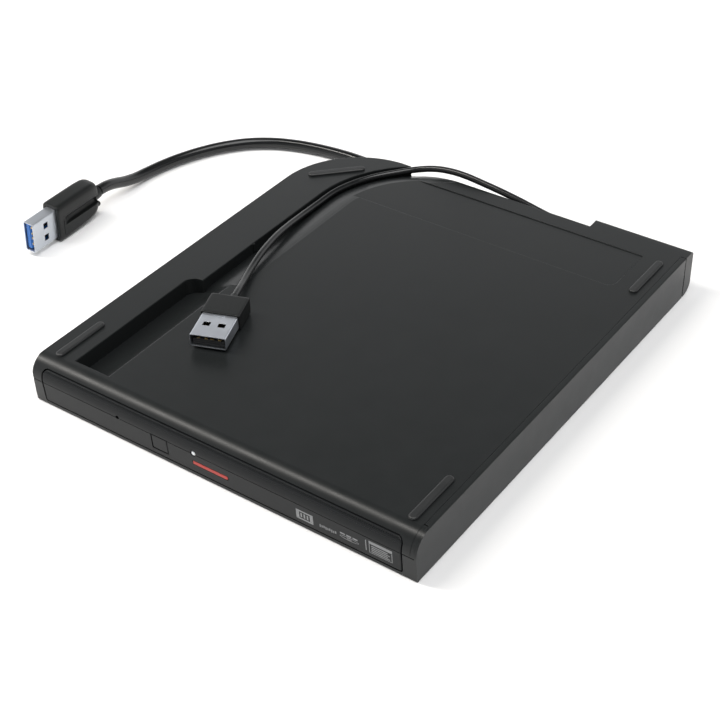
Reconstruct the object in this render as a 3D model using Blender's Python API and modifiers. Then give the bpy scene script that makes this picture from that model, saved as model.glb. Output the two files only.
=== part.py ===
"""External slim optical drive with its two captive USB leads.

Metres, +Z up.  The drive lies on its top cover, so its underside, with the
rubber feet, the lead storage pocket and the lead groove, faces up (+Z).  The
loading front faces -Y, the lead bay is at +Y.  The origin is the centre of
the case footprint on the surface that the drive lies on.
"""
import bpy
import bmesh
import math
from mathutils import Vector, Matrix

MM = 0.001

# ---- case ---------------------------------------------------------------
W = 145.0            # case width, X
D = 168.0            # case depth, Y
H = 16.0             # case height without the feet, Z
HX, HY = W / 2, D / 2
GAP = 0.3            # clearance between touching pieces
WALL = 1.6           # moulded wall
SEAM = 8.9           # height of the parting line
EDGE_R = 6.5         # front edge radius
SKIN = 14.5          # inner face of the underside plate
BAY_Y = 78.8         # face of the lead bay
BAY_X = 35.8         # right end of the lead bay
CORNER_R = 31.0      # plan radius of the rear left corner block
CORNER_C = (-HX + CORNER_R, BAY_Y - CORNER_R)

# ---- storage pocket and lead groove --------------------------------------
POCKET_X0, POCKET_X1 = -60.0, -46.0
POCKET_Y0, POCKET_Y1 = -76.3, -20.6
POCKET_Z = 10.0
GROOVE_X = -55.2
GROOVE_R = 42.5
GROOVE_C = (GROOVE_X + GROOVE_R, 45.0)

# ---- feet ---------------------------------------------------------------
FOOT_L, FOOT_W, FOOT_H = 21.0, 2.9, 0.9

# ---- drive mechanism -------------------------------------------------------
DISC = (0.0, -17.5)      # spindle axis
BEZEL_X0, BEZEL_X1 = -68.2, 67.4
BEZEL_Z0, BEZEL_Z1 = 1.6, 13.6
TRAY_TRAVEL = 122.0
SLED_DIR = math.radians(-45.0)

# ---- leads -----------------------------------------------------------------
LEAD1_D, LEAD2_D = 4.2, 2.4
LEAD_Y = 81.3         # leads leave the notch wall at this depth
LEAD1_Z, LEAD2_Z = 5.2, 11.3


# =============================================================================
# helpers
# =============================================================================
for _o in list(bpy.data.objects):
    bpy.data.objects.remove(_o, do_unlink=True)

drive = bpy.data.collections.new("external_optical_drive")
tools = bpy.data.collections.new("cutters")
for _c in (drive, tools):
    bpy.context.scene.collection.children.link(_c)


def material(name, rgb, roughness=0.5, metallic=0.0):
    m = bpy.data.materials.new(name)
    m.use_nodes = True
    bsdf = next(n for n in m.node_tree.nodes if n.type == "BSDF_PRINCIPLED")
    bsdf.inputs["Base Color"].default_value = (*rgb, 1.0)
    bsdf.inputs["Roughness"].default_value = roughness
    bsdf.inputs["Metallic"].default_value = metallic
    m.diffuse_color = (*rgb, 1.0)
    return m


CASE = material("case_plastic", (0.045, 0.048, 0.047), 0.5)
BEZEL = material("bezel_plastic", (0.05, 0.052, 0.052), 0.45)
RUBBER = material("foot_rubber", (0.035, 0.037, 0.037), 0.7)
TRAYM = material("tray_plastic", (0.03, 0.03, 0.032), 0.4)
STEEL = material("sheet_steel", (0.55, 0.56, 0.57), 0.35, 1.0)
BRIGHT = material("shell_steel", (0.72, 0.73, 0.75), 0.22, 1.0)
SHAFT = material("ground_shaft", (0.68, 0.68, 0.69), 0.18, 1.0)
BOARD = material("circuit_board", (0.03, 0.15, 0.07), 0.5)
CHIP = material("chip_epoxy", (0.02, 0.02, 0.022), 0.55)
WHITE = material("light_guide", (0.85, 0.87, 0.88), 0.3)
RED = material("accent_red", (0.55, 0.05, 0.035), 0.4)
BLUE = material("usb_blue", (0.03, 0.16, 0.55), 0.4)
LEAD = material("lead_pvc", (0.02, 0.021, 0.023), 0.3)
PLUG = material("plug_moulding", (0.022, 0.023, 0.024), 0.45)
LENS = material("lens_glass", (0.35, 0.45, 0.6), 0.08)
FLEX = material("flex_film", (0.45, 0.30, 0.10), 0.4)
GOLD = material("contact_gold", (0.75, 0.55, 0.2), 0.3, 1.0)


def link(obj, mat=None, cutter=False):
    (tools if cutter else drive).objects.link(obj)
    if cutter:
        obj.hide_render = True
        obj.display_type = "WIRE"
    if mat is not None:
        obj.data.materials.clear()
        obj.data.materials.append(mat)
    return obj


def new_mesh_object(name, bm, loc=(0, 0, 0)):
    me = bpy.data.meshes.new(name)
    bm.to_mesh(me)
    bm.free()
    ob = bpy.data.objects.new(name, me)
    ob.location = [c * MM for c in loc]
    return ob


def box(name, x, y, z, mat=None, cutter=False):
    """Block between the given (low, high) pairs, its origin at its centre."""
    bm = bmesh.new()
    bmesh.ops.create_cube(bm, size=1.0)
    bmesh.ops.scale(bm, verts=bm.verts, vec=((x[1] - x[0]) * MM, (y[1] - y[0]) * MM, (z[1] - z[0]) * MM))
    ob = new_mesh_object(name, bm, ((x[0] + x[1]) / 2, (y[0] + y[1]) / 2, (z[0] + z[1]) / 2))
    return link(ob, mat, cutter)


def cyl(name, centre, r, h, axis="Z", mat=None, cutter=False, seg=32, r2=None):
    """Round bar of radius r (r2 at its far end), h long, about its centre."""
    bm = bmesh.new()
    bmesh.ops.create_cone(bm, cap_ends=True, segments=seg, radius1=r * MM,
                          radius2=(r if r2 is None else r2) * MM, depth=h * MM)
    turn = {"Z": Matrix.Identity(3), "X": Matrix.Rotation(math.pi / 2, 3, "Y"),
            "Y": Matrix.Rotation(-math.pi / 2, 3, "X")}[axis]
    bmesh.ops.rotate(bm, verts=bm.verts, cent=(0, 0, 0), matrix=turn)
    ob = new_mesh_object(name, bm, centre)
    for p in ob.data.polygons:
        p.use_smooth = len(p.vertices) == 4
    return link(ob, mat, cutter)


AXES = {
    "Z": Matrix(((1, 0, 0), (0, 1, 0), (0, 0, 1))),
    "X": Matrix(((0, 0, 1), (1, 0, 0), (0, 1, 0))),     # outline (y, z), thick along X
    "Y": Matrix(((1, 0, 0), (0, 0, -1), (0, 1, 0))),    # outline (x, z), thick along Y
}


def flat(name, pts, lo, hi, axis="Z", mat=None, cutter=False):
    """Flat outline, a filled 2D curve, thick from lo to hi along axis."""
    cu = bpy.data.curves.new(name, "CURVE")
    cu.dimensions = "2D"
    cu.fill_mode = "BOTH"
    cu.extrude = abs(hi - lo) / 2 * MM
    sp = cu.splines.new("POLY")
    sp.points.add(len(pts) - 1)
    for p, (a, b) in zip(sp.points, pts):
        p.co = (a * MM, b * MM, 0, 1)
    sp.use_cyclic_u = True
    tmp = bpy.data.objects.new(name + "_outline", cu)
    bpy.context.scene.collection.objects.link(tmp)
    mid = (lo + hi) / 2 * MM
    at = {"Z": (0, 0, mid), "X": (mid, 0, 0), "Y": (0, mid, 0)}[axis]
    tmp.matrix_world = Matrix.Translation(at) @ AXES[axis].to_4x4()
    return link(from_curve(name, tmp), mat, cutter)


def from_curve(name, tmp):
    bpy.context.view_layer.update()
    deps = bpy.context.evaluated_depsgraph_get()
    me = bpy.data.meshes.new_from_object(tmp.evaluated_get(deps))
    me.name = name
    bm = bmesh.new()
    bm.from_mesh(me)
    bmesh.ops.remove_doubles(bm, verts=bm.verts, dist=1e-6)
    bmesh.ops.recalc_face_normals(bm, faces=bm.faces)
    bm.to_mesh(me)
    bm.free()
    ob = bpy.data.objects.new(name, me)
    ob.matrix_world = tmp.matrix_world.copy()
    bpy.data.objects.remove(tmp, do_unlink=True)
    return ob


def arc(cx, cy, r, a0, a1, n):
    """Points on a circle from angle a0 to a1 in degrees, both ends included."""
    out = []
    for i in range(n + 1):
        a = math.radians(a0 + (a1 - a0) * i / n)
        out.append((cx + r * math.cos(a), cy + r * math.sin(a)))
    return out


def rounded(x0, x1, y0, y1, r, n=4):
    return (arc(x1 - r, y0 + r, r, -90, 0, n) + arc(x1 - r, y1 - r, r, 0, 90, n)
            + arc(x0 + r, y1 - r, r, 90, 180, n) + arc(x0 + r, y0 + r, r, 180, 270, n))


def boolean(ob, tool, op="DIFFERENCE"):
    m = ob.modifiers.new(f"{op.lower()}_{tool.name}", "BOOLEAN")
    m.operation = op
    m.solver = "EXACT"
    m.object = tool
    return ob


def cut(ob, *tool_list):
    for t in tool_list:
        boolean(ob, t, "DIFFERENCE")
    return ob


def join(ob, *tool_list):
    for t in tool_list:
        boolean(ob, t, "UNION")
    return ob


def bevel(ob, width, segments=2, angle=40):
    m = ob.modifiers.new("bevel", "BEVEL")
    m.width = width * MM
    m.segments = segments
    m.limit_method = "ANGLE"
    m.angle_limit = math.radians(angle)
    m.use_clamp_overlap = True
    return ob


def smooth(ob, angle=35):
    ob.data.shade_smooth()
    ob.data.set_sharp_from_angle(angle=math.radians(angle))
    return ob


def empty(name, loc, parent=None):
    e = bpy.data.objects.new(name, None)
    e.empty_display_size = 0.01
    e.location = [c * MM for c in loc]
    tools.objects.link(e)
    bpy.context.view_layer.update()
    if parent is not None:
        hang(e, parent)
    return e


def hang(ob, parent):
    """Parent ob and leave it where it is."""
    bpy.context.view_layer.update()
    w = ob.matrix_world.copy()
    ob.parent = parent
    ob.matrix_parent_inverse = parent.matrix_world.inverted()
    ob.matrix_world = w
    return ob


# =============================================================================
# case
# =============================================================================
def front_profile(top=True):
    """Outline (y, z) of the front edge, from the seam up and over."""
    cy, cz = -HY + EDGE_R, H - EDGE_R
    return arc(cy, cz, EDGE_R, 180, 90, 7)


def plan_outline(inset=0.0, x_right=HX, y_right=81.0):
    """Case plan with the lead bay cut from its rear and the rounded block."""
    r = CORNER_R - inset
    pts = [(-HX + inset, -HY + inset), (x_right - inset, -HY + inset),
           (x_right - inset, y_right), (BAY_X + inset, y_right),
           (BAY_X + inset, BAY_Y - inset)]
    pts += arc(CORNER_C[0], CORNER_C[1], r, 90, 180, 12)
    return pts


def pocket_floor(x):
    return POCKET_Z + (H - POCKET_Z) * (max(x - POCKET_X0, 0.0) / (POCKET_X1 - POCKET_X0)) ** 1.8


def groove_floor(u):
    law = ((0.0, 11.8), (1.2, 12.3), (2.8, 13.15), (4.2, 13.85), (5.9, 14.55), (7.6, 15.1), (9.4, 15.55),
           (11.2, 15.83), (13.0, 15.98), (13.6, 16.12))
    for (u0, z0), (u1, z1) in zip(law, law[1:]):
        if u <= u1 + 1e-6:
            return z0 + (z1 - z0) * (u - u0) / (u1 - u0)
    return law[-1][1]


def recess(name, off):
    """The storage pocket and the lead groove that runs on from it, as one
    solid: a vertical outer wall and a floor that rises smoothly inboard to
    the underside.  The groove bends round the corner block and leaves
    through the face of the bay.  off grows it outward."""
    steps = (0.0, 0.1, 0.2, 0.31, 0.43, 0.56, 0.7, 0.84, 1.0)
    inner, reach = POCKET_X1 + 0.3, 13.6 + off
    r = 3.8 + off
    cx, cy = POCKET_X0 + 3.8, POCKET_Y1 - 3.8
    stations = [((POCKET_X0 - off, POCKET_Y0 - off), (1.0, 0.0), 0.0)]
    for k in range(5):
        a = math.radians(180 - 84 * k / 4)
        stations.append(((cx + r * math.cos(a), cy + r * math.sin(a)), (1.0, 0.0), 0.0))
    for y in (POCKET_Y1 + off + 0.12, -18.6, -17.2, -15.6, 10.0):
        b = min(max((y - POCKET_Y1) / 5.0, 0.0), 1.0)
        stations.append(((GROOVE_X - off, y), (1.0, 0.0), b * b * (3 - 2 * b)))
    for k in range(8):
        a = math.radians(180 - 52 * k / 7)
        c, s = math.cos(a), math.sin(a)
        stations.append(((GROOVE_C[0] + (GROOVE_R + off) * c, GROOVE_C[1] + (GROOVE_R + off) * s), (-c, -s), 1.0))
    (px, py), (nx, ny), _ = stations[-1]
    stations.append(((px - 17 * ny, py + 17 * nx), (nx, ny), 1.0))
    bm = bmesh.new()
    rings = []
    for (px, py), (nx, ny), blend in stations:
        width = (inner - px if nx == 1.0 else 0.0) * (1 - blend) + reach * blend
        ring = []
        for f in steps:
            x, y = px + nx * f * width, py + ny * f * width
            u = f * width - off
            z = (pocket_floor(x) if nx == 1.0 and blend < 1 else 0.0) * (1 - blend) + groove_floor(max(u, 0.0)) * blend
            ring.append((x, y, z - off))
        ring.append((ring[-1][0], ring[-1][1], 19.0))
        ring.append((px, py, 19.0))
        rings.append([bm.verts.new([c * MM for c in p]) for p in ring])
    n = len(rings[0])
    for a, b in zip(rings, rings[1:]):
        for i in range(n):
            bm.faces.new((a[i], a[(i + 1) % n], b[(i + 1) % n], b[i]))
    bm.faces.new(rings[0][::-1])
    bm.faces.new(rings[-1])
    bmesh.ops.triangulate(bm, faces=bm.faces)
    bmesh.ops.recalc_face_normals(bm, faces=bm.faces)
    return link(new_mesh_object(name, bm), None, True)


# --- underside cover: plate, front rounding, left and bay walls, rear block --
prof = front_profile()
upper = [(-HY, SEAM + 0.15)] + prof + [(90.0, H), (90.0, SEAM + 0.15)]
bottom_cover = flat("bottom_cover", upper, -HX, HX, "X", CASE)
boolean(bottom_cover, flat("cover_plan", plan_outline(), -5.0, 25.0, "Z", cutter=True), "INTERSECT")
rear_prof = ([(BAY_Y, 0.3)] + arc(HY - 4.0, 4.3, 4.0, -90, 0, 5)
             + arc(HY - 1.2, H - 1.2, 1.2, 0, 90, 3) + [(BAY_Y, H)])
rear_block = flat("rear_block", rear_prof, BAY_X, HX, "X", cutter=True)
join(bottom_cover, rear_block)
cavity_a = flat("cover_cavity", [(-HX + WALL, -79.5), (HX - WALL, -79.5), (HX - WALL, BAY_Y + 0.6),
                                 (BAY_X + WALL, BAY_Y + 0.6), (BAY_X + WALL, BAY_Y - WALL)]
                + arc(CORNER_C[0], CORNER_C[1], CORNER_R - WALL, 90, 180, 12), -2.0, SKIN, "Z", cutter=True)
cut(cavity_a, recess("recess_bump", 1.2))
cavity_b = box("block_cavity", (BAY_X + WALL, HX - WALL), (BAY_Y - 1.0, HY - WALL), (1.9, SKIN), cutter=True)
strip_a = box("side_rebate", (HX - 2.15, HX + 5), (-HY + 6.8, BAY_Y - 0.15), (-2, 20), cutter=True)
strip_b = box("side_rebate_front", (HX - 0.95, HX + 5), (-HY - 5, -HY + 7.0), (-2, 20), cutter=True)
mouth_pts = (arc(BEZEL_X0 - GAP + 2.2, BEZEL_Z1 + GAP - 2.2, 2.2, 180, 90, 4)
             + arc(BEZEL_X1 + GAP - 2.2, BEZEL_Z1 + GAP - 2.2, 2.2, 90, 0, 4)
             + [(BEZEL_X1 + GAP, BEZEL_Z0 - GAP), (BEZEL_X0 - GAP, BEZEL_Z0 - GAP)])
mouth = flat("bezel_mouth", mouth_pts, -HY - 3, -HY + 5.5, "Y", cutter=True)
cut(bottom_cover, cavity_a, cavity_b, strip_a, strip_b, mouth)
cut(bottom_cover, recess("recess_cut", 0.0))
label_pts = (arc(-20.3, 48.2, 27.2, 118.5, 174.9, 7) + arc(56.6, 53.6, 3.0, -90, 0, 3) + [(59.6, 72.1)])
cut(bottom_cover, flat("label_recess", label_pts, H - 0.35, H + 2, "Z", cutter=True))
for nm, r, z in (("gland_hole_main", 2.4, LEAD1_Z), ("gland_hole_aux", 1.8, LEAD2_Z)):
    cut(bottom_cover, cyl(nm, (BAY_X + 1, LEAD_Y, z), r, 6, "X", cutter=True, seg=20))

# --- top cover: plate, lower half of the walls, right side wall ------------
lower = [(-HY + 0.9, 0.0), (-HY + 0.5, 0.35), (-HY, SEAM - 0.15), (90.0, SEAM - 0.15), (90.0, 0.0)]
top_cover = flat("top_cover", lower, -HX, HX, "X", CASE)
flange = [(-HX, -HY), (HX, -HY), (HX, BAY_Y - 0.3), (BAY_X - 0.3, BAY_Y - 0.3), (BAY_X - 0.3, HY)]
flange += arc(CORNER_C[0] + 5.2, CORNER_C[1], CORNER_R + 5.2, 90, 180, 14)
boolean(top_cover, flat("flange_plan", flange, -5, 25, "Z", cutter=True), "INTERSECT")
# above the plate the outside follows the bay face and the corner block
shave = ([(-HX - 4, CORNER_C[1] - 0.01), (-HX - 4, HY + 4), (BAY_X + 4, HY + 4), (BAY_X + 4, BAY_Y)]
         + arc(CORNER_C[0], CORNER_C[1], CORNER_R, 90, 180, 12))
cut(top_cover, flat("bay_floor_cut", shave, 1.5, 20, "Z", cutter=True))
well = ([(-HX + WALL, -79.5), (HX - 2.0, -79.5), (HX - 2.0, 90.0), (BAY_X + WALL - 0.2, 90.0), (BAY_X + WALL - 0.2, BAY_Y - WALL)]
        + arc(CORNER_C[0], CORNER_C[1], CORNER_R - WALL, 90, 180, 12))
cut(top_cover, flat("top_cavity", well, 1.5, 20, "Z", cutter=True))
cut(top_cover, mouth)
side = ([(-HY + 0.9, 0.2), (-HY + 0.5, 0.55), (-HY, SEAM - 0.15)] + prof
        + [(BAY_Y - 0.3, H), (BAY_Y - 0.3, 0.2)])
side_skin = flat("side_skin", side, HX - 0.8, HX, "X", cutter=True)
side_wall = box("side_wall", (HX - 2.0, HX - 0.4), (-HY + 7.2, BAY_Y - 0.3), (0.2, H), cutter=True)
join(top_cover, side_skin, side_wall)

# --- feet: rubber bars on the underside --------------------------------------
FEET = {
    "foot_front_left": (-66.3, -67.5, 90.0), "foot_front_right": (66.4, -67.3, 90.0),
    "foot_rear_right": (66.4, 61.2, 90.0), "foot_rear_left": (-59.0, 60.3, 45.0),
}


def foot(name, x, y, deg):
    """Rubber bar with round ends and sloped flanks, raised from the plate."""
    r, rt, half = FOOT_W / 2, FOOT_W / 2 - 0.35, FOOT_L / 2 - FOOT_W / 2
    bm = bmesh.new()
    loops = []
    for rad, z in ((r, 0.0), (r, 0.35), (rt, FOOT_H - GAP)):
        ring = []
        for k in range(12):
            a = math.radians(-90 + 180 * k / 5 if k < 6 else 90 + 180 * (k - 6) / 5)
            sx = half if k < 6 else -half
            ring.append(bm.verts.new(((sx + rad * math.cos(a)) * MM, rad * math.sin(a) * MM, z * MM)))
        loops.append(ring)
    for a, b in zip(loops, loops[1:]):
        for i in range(12):
            bm.faces.new((a[i], a[(i + 1) % 12], b[(i + 1) % 12], b[i]))
    bm.faces.new(loops[0][::-1])
    bm.faces.new(loops[-1])
    bmesh.ops.recalc_face_normals(bm, faces=bm.faces)
    ob = new_mesh_object(name, bm, (x, y, H + GAP))
    ob.rotation_euler = (0, 0, math.radians(deg))
    return link(ob, RUBBER)


for nm, (fx, fy, fa) in FEET.items():
    foot(nm, fx, fy, fa)

# =============================================================================
# tray: bezel, drawer and everything the drawer carries
# =============================================================================
tray_axis = empty("tray_slide_axis", (0, -HY, 8))

bz = [(-HY + 0.42, BEZEL_Z0), (-HY, SEAM)]
bz += [p for p in arc(-HY + EDGE_R, H - EDGE_R, EDGE_R, 180, 132, 4)]
bz_top = bz[-1]
bz += [(-80.6, bz_top[1]), (-80.6, BEZEL_Z0)]
tray_bezel = flat("tray_bezel", bz, BEZEL_X0, BEZEL_X1, "X", BEZEL)
corners = (arc(BEZEL_X0 + 1.9, BEZEL_Z1 - 1.9, 1.9, 180, 90, 4) + arc(BEZEL_X1 - 1.9, BEZEL_Z1 - 1.9, 1.9, 90, 0, 4)
           + arc(BEZEL_X1 - 0.6, BEZEL_Z0 + 0.6, 0.6, 0, -90, 2) + arc(BEZEL_X0 + 0.6, BEZEL_Z0 + 0.6, 0.6, -90, -180, 2))
boolean(tray_bezel, flat("bezel_corners", corners, -90, -75, "Y", cutter=True), "INTERSECT")
groove_line = box("bezel_line", (-80, 80), (-HY - 1, -HY + 0.3), (SEAM - 0.12, SEAM + 0.12), cutter=True)
BTN_X, BTN_Z = (-23.4, -16.9), (3.4, 9.2)
btn_hole = box("button_hole", BTN_X, (-90, -75), BTN_Z, cutter=True)
pin_hole = cyl("release_hole", (-36.7, -82, 9.1), 0.65, 12, "Y", cutter=True, seg=16)
led_hole = cyl("led_hole", (-6.6, -82, 9.1), 1.15, 12, "Y", cutter=True, seg=20)
strip_slot = box("accent_slot", (-7.4, 6.4), (-HY - 1, -HY + 0.75), (4.55, 6.35), cutter=True)
cut(tray_bezel, groove_line, btn_hole, pin_hole, led_hole, strip_slot)
hang(tray_bezel, tray_axis)

accent = box("accent_strip", (-7.1, 6.1), (-HY + 0.12, -HY + 0.45), (4.85, 6.05), RED)
bevel(accent, 0.1, 1)
hang(accent, tray_axis)
led = cyl("light_guide", (-6.6, -81.9, 9.1), 0.85, 4.2, "Y", WHITE, seg=20)
bevel(led, 0.2, 2)
hang(led, tray_axis)

btn = box("eject_button", (BTN_X[0] + 0.3, BTN_X[1] - 0.3), (-HY, -81.0), (BTN_Z[0] + 0.3, BTN_Z[1] - 0.3), BEZEL)
stem = box("button_stem", (-21.4, -18.9), (-81.6, -78.3), (5.6, 7.4), cutter=True)
join(btn, stem)
hang(btn, tray_axis)
switch = box("eject_switch", (-22.0, -18.2), (-77.4, -74.8), (5.5, 8.0), CHIP)
hang(switch, tray_axis)

# drawer moulding: plate with the disc well, side and end walls, window
TP0, TP1 = 2.8, 5.2
disc_tray = box("disc_tray", (-61.0, 61.0), (-80.2, 44.4), (TP0, TP1), TRAYM)
wall_r = box("drawer_wall_r", (58.2, 59.8), (-80.2, 44.4), (4.6, 7.3), cutter=True)
wall_l = box("drawer_wall_l", (-59.8, -58.2), (-80.2, 44.4), (4.6, 7.3), cutter=True)
tongue_r = box("tongue_r", (59.0, 61.2), (-80.2, 44.4), (6.3, 6.65), cutter=True)
tongue_l = box("tongue_l", (-61.2, -59.0), (-80.2, 44.4), (6.3, 6.65), cutter=True)
end_wall = box("drawer_end", (-43.0, 59.0), (43.0, 44.4), (4.6, 11.0), cutter=True)
mid_wall = box("drawer_mid", (-43.4, -42.0), (-80.2, 44.4), (4.6, 11.0), cutter=True)
fore_wall = box("drawer_fore", (-60.0, 60.0), (-80.2, -79.0), (4.6, 7.3), cutter=True)
join(disc_tray, wall_r, wall_l, tongue_r, tongue_l, end_wall, mid_wall, fore_wall)
disc_well = cyl("disc_well", (DISC[0], DISC[1], TP0 + 0.3), 60.5, 2.6, "Z", cutter=True, seg=72)
inner_well = cyl("disc_well_small", (DISC[0], DISC[1], TP0 + 0.5), 40.6, 3.0, "Z", cutter=True, seg=56)


def along(r, p):
    """Point at radius r from the spindle along the sled's path, p beside it."""
    c, s = math.cos(SLED_DIR), math.sin(SLED_DIR)
    return (DISC[0] + r * c - p * s, DISC[1] + r * s + p * c)


def slab(name, r, p, z, mat=None, cutter=False, rad=None):
    """Block laid along the sled's path: r along it, p across, z up."""
    x, y = along((r[0] + r[1]) / 2, (p[0] + p[1]) / 2)
    if rad:
        pts = rounded(-(r[1] - r[0]) / 2, (r[1] - r[0]) / 2, -(p[1] - p[0]) / 2, (p[1] - p[0]) / 2, rad)
        ob = flat(name, pts, z[0], z[1], "Z", mat, cutter)
        ob.matrix_world = Matrix.Translation((x * MM, y * MM, (z[0] + z[1]) / 2 * MM)) @ Matrix.Rotation(SLED_DIR, 4, "Z")
        return ob
    ob = box(name, (-(r[1] - r[0]) / 2, (r[1] - r[0]) / 2), (-(p[1] - p[0]) / 2, (p[1] - p[0]) / 2), z, mat, cutter)
    ob.location = (x * MM, y * MM, (z[0] + z[1]) / 2 * MM)
    ob.rotation_euler = (0, 0, SLED_DIR)
    return ob


def rod(name, r, p, z, rad, mat=None, cutter=False, seg=12):
    x, y = along((r[0] + r[1]) / 2, p)
    ob = cyl(name, (0, 0, 0), rad, r[1] - r[0], "X", mat, cutter, seg)
    ob.location = (x * MM, y * MM, z * MM)
    ob.rotation_euler = (0, 0, SLED_DIR)
    return ob


window = slab("drawer_window", (-14.5, 68.0), (-17.0, 16.5), (0.0, 7.6), cutter=True, rad=3.0)
boolean(window, box("window_limit", (-60.0, 57.7), (-78.6, 43.0), (-2, 20), cutter=True), "INTERSECT")
stem_hole = box("stem_hole", (-21.8, -18.5), (-82.0, -77.8), (5.2, 7.8), cutter=True)
cut(disc_tray, disc_well, inner_well, window, stem_hole)
hang(disc_tray, tray_axis)

# traverse: chassis, spindle motor, guide rods, lead screw and stepper
chassis = slab("traverse_chassis", (-17.5, 70.0), (-20.0, 19.5), (5.7, 6.7), STEEL, rad=4.0)
boolean(chassis, box("chassis_limit", (-41.0, 57.6), (-78.4, 42.0), (0, 14), cutter=True), "INTERSECT")
opening = slab("chassis_window", (11.9, 64.4), (-15.6, 15.6), (0, 14), cutter=True, rad=1.0)
motor_seat = cyl("motor_seat", (DISC[0], DISC[1], 6.2), 11.0, 6.0, "Z", cutter=True, seg=32)
step_seat = slab("stepper_seat", (-1.0, 11.4), (-19.0, -11.0), (0, 14), cutter=True)
cut(chassis, opening, motor_seat, step_seat)
for nm, r, p in (("post_outer_main", (63.6, 66.2), (10.0, 15.2)), ("post_outer_aux", (63.6, 66.2), (-11.6, -6.4)),
                 ("post_inner_main", (10.6, 12.9), (10.0, 15.2)), ("post_inner_aux", (10.8, 12.9), (-10.9, -6.9))):
    join(chassis, slab(nm, r, p, (6.2, 9.9), cutter=True))
hang(chassis, tray_axis)

ROD_Z = 8.3
for nm, p in (("guide_rod_main", 12.6), ("guide_rod_aux", -9.0)):
    g = rod(nm, (13.2, 63.3), p, ROD_Z, 1.1, SHAFT, seg=14)
    hang(g, tray_axis)

spindle_motor = cyl("spindle_motor", (DISC[0], DISC[1], 8.0), 10.6, 4.4, "Z", STEEL, seg=40)
cut(spindle_motor, cyl("motor_bore", (DISC[0], DISC[1], 7.0), 1.3, 4.4, "Z", cutter=True, seg=20))
hang(spindle_motor, tray_axis)

hub_axis = empty("spindle_axis", (DISC[0], DISC[1], 4.6), tray_axis)
hub = cyl("spindle_hub", (DISC[0], DISC[1], 4.6), 12.4, 0.9, "Z", CHIP, seg=40)
boss = cyl("hub_boss", (DISC[0], DISC[1], 3.6), 7.2, 1.4, "Z", cutter=True, seg=36, r2=7.3)
hub_shaft = cyl("hub_shaft", (DISC[0], DISC[1], 6.6), 1.0, 3.8, "Z", cutter=True, seg=20)
join(hub, boss, hub_shaft)
PAWL_ANGLES = (90, 210, 330)
for i, a in enumerate(PAWL_ANGLES):
    t = math.radians(a)
    slot = box(f"pawl_slot_{i + 1}", (-1.8, 1.8), (-1.5, 1.5), (-0.7, 0.7), cutter=True)
    slot.location = ((DISC[0] + 6.4 * math.cos(t)) * MM, (DISC[1] + 6.4 * math.sin(t)) * MM, 3.2 * MM)
    slot.rotation_euler = (0, 0, t)
    cut(hub, slot)
hang(hub, hub_axis)
for i, a in enumerate(PAWL_ANGLES):
    t = math.radians(a)
    pawl = box(f"hub_pawl_{i + 1}", (-1.1, 1.1), (-1.15, 1.15), (-0.42, 0.42), BEZEL)
    pawl.location = ((DISC[0] + 6.3 * math.cos(t)) * MM, (DISC[1] + 6.3 * math.sin(t)) * MM, 3.15 * MM)
    pawl.rotation_euler = (0, 0, t)
    bevel(pawl, 0.15, 1)
    hang(pawl, hub_axis)

# pickup sled with its lens, on two rods
SLED_R = 25.0            # lens radius at rest
SLED_HALF = 7.0
sled = slab("pickup_sled", (SLED_R - SLED_HALF, SLED_R + SLED_HALF), (-11.0, 15.0), (6.0, 10.6), STEEL)
arm = slab("sled_nut_arm", (SLED_R - 3.0, SLED_R + 3.0), (-16.6, -10.0), (10.0, 10.6), cutter=True)
arm_tip = slab("sled_nut_tip", (SLED_R - 3.0, SLED_R + 3.0), (-16.6, -16.1), (8.4, 10.3), cutter=True)
join(sled, arm)
cut(sled, rod("sled_bore_main", (-10, 90), 12.6, ROD_Z, 1.4, cutter=True, seg=16),
    slab("sled_slot_aux", (-10, 90), (-10.5, -7.5), (5.0, ROD_Z + 1.45), cutter=True),
    slab("lens_well", (SLED_R - 4.9, SLED_R + 4.9), (-4.9, 4.9), (5.0, 9.0), cutter=True))
sled_axis = empty("sled_axis", (*along(SLED_R, 0), 8.0), tray_axis)
hang(sled, sled_axis)
holder = slab("lens_holder", (SLED_R - 4.2, SLED_R + 4.2), (-4.2, 4.2), (6.4, 8.2), CHIP)
lens_xy = along(SLED_R, 0)
cut(holder, cyl("lens_seat", (*lens_xy, 6.4), 2.5, 1.6, "Z", cutter=True, seg=24))
hang(holder, sled_axis)
lens = cyl("objective_lens", (*lens_xy, 6.3), 2.2, 0.9, "Z", LENS, seg=24)
bevel(lens, 0.3, 3)
hang(lens, sled_axis)

SCREW_P, SCREW_R = -14.6, 1.2
screw_axis = empty("lead_screw_axis", (*along(38.0, SCREW_P), ROD_Z), tray_axis)
screw = rod("lead_screw", (11.3, 63.3), SCREW_P, ROD_Z, SCREW_R, SHAFT, seg=16)
hang(screw, screw_axis)
stepper = rod("stepper_motor", (0.4, 11.0), SCREW_P, ROD_Z, 3.2, STEEL, seg=24)
hang(stepper, tray_axis)
for i, (r, p) in enumerate(((-13.6, 13.5), (-13.6, -15.0), (56.0, 17.55))):
    x, y = along(r, p)
    d = cyl(f"damper_{i + 1}", (x, y, 7.9), 1.9, 1.8, "Z", RUBBER, seg=16)
    bevel(d, 0.3, 2)
    hang(d, tray_axis)

# drawer's circuit board and the parts on it
tray_board = box("tray_board", (-40.6, 57.2), (19.2, 42.4), (6.0, 7.0), BOARD)
cut(tray_board, slab("board_relief", (-19.0, 80), (-21.5, 21.0), (0, 14), cutter=True))
hang(tray_board, tray_axis)
for nm, x, y, z in (("controller_chip", (4.0, 18.0), (25.0, 39.0), (7.3, 8.5)), ("driver_chip", (28.0, 37.0), (28.0, 37.0), (7.3, 8.3)),
                    ("memory_chip", (-20.0, -9.0), (34.0, 40.5), (7.3, 8.3))):
    hang(box(nm, x, y, z, CHIP), tray_axis)

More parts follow.
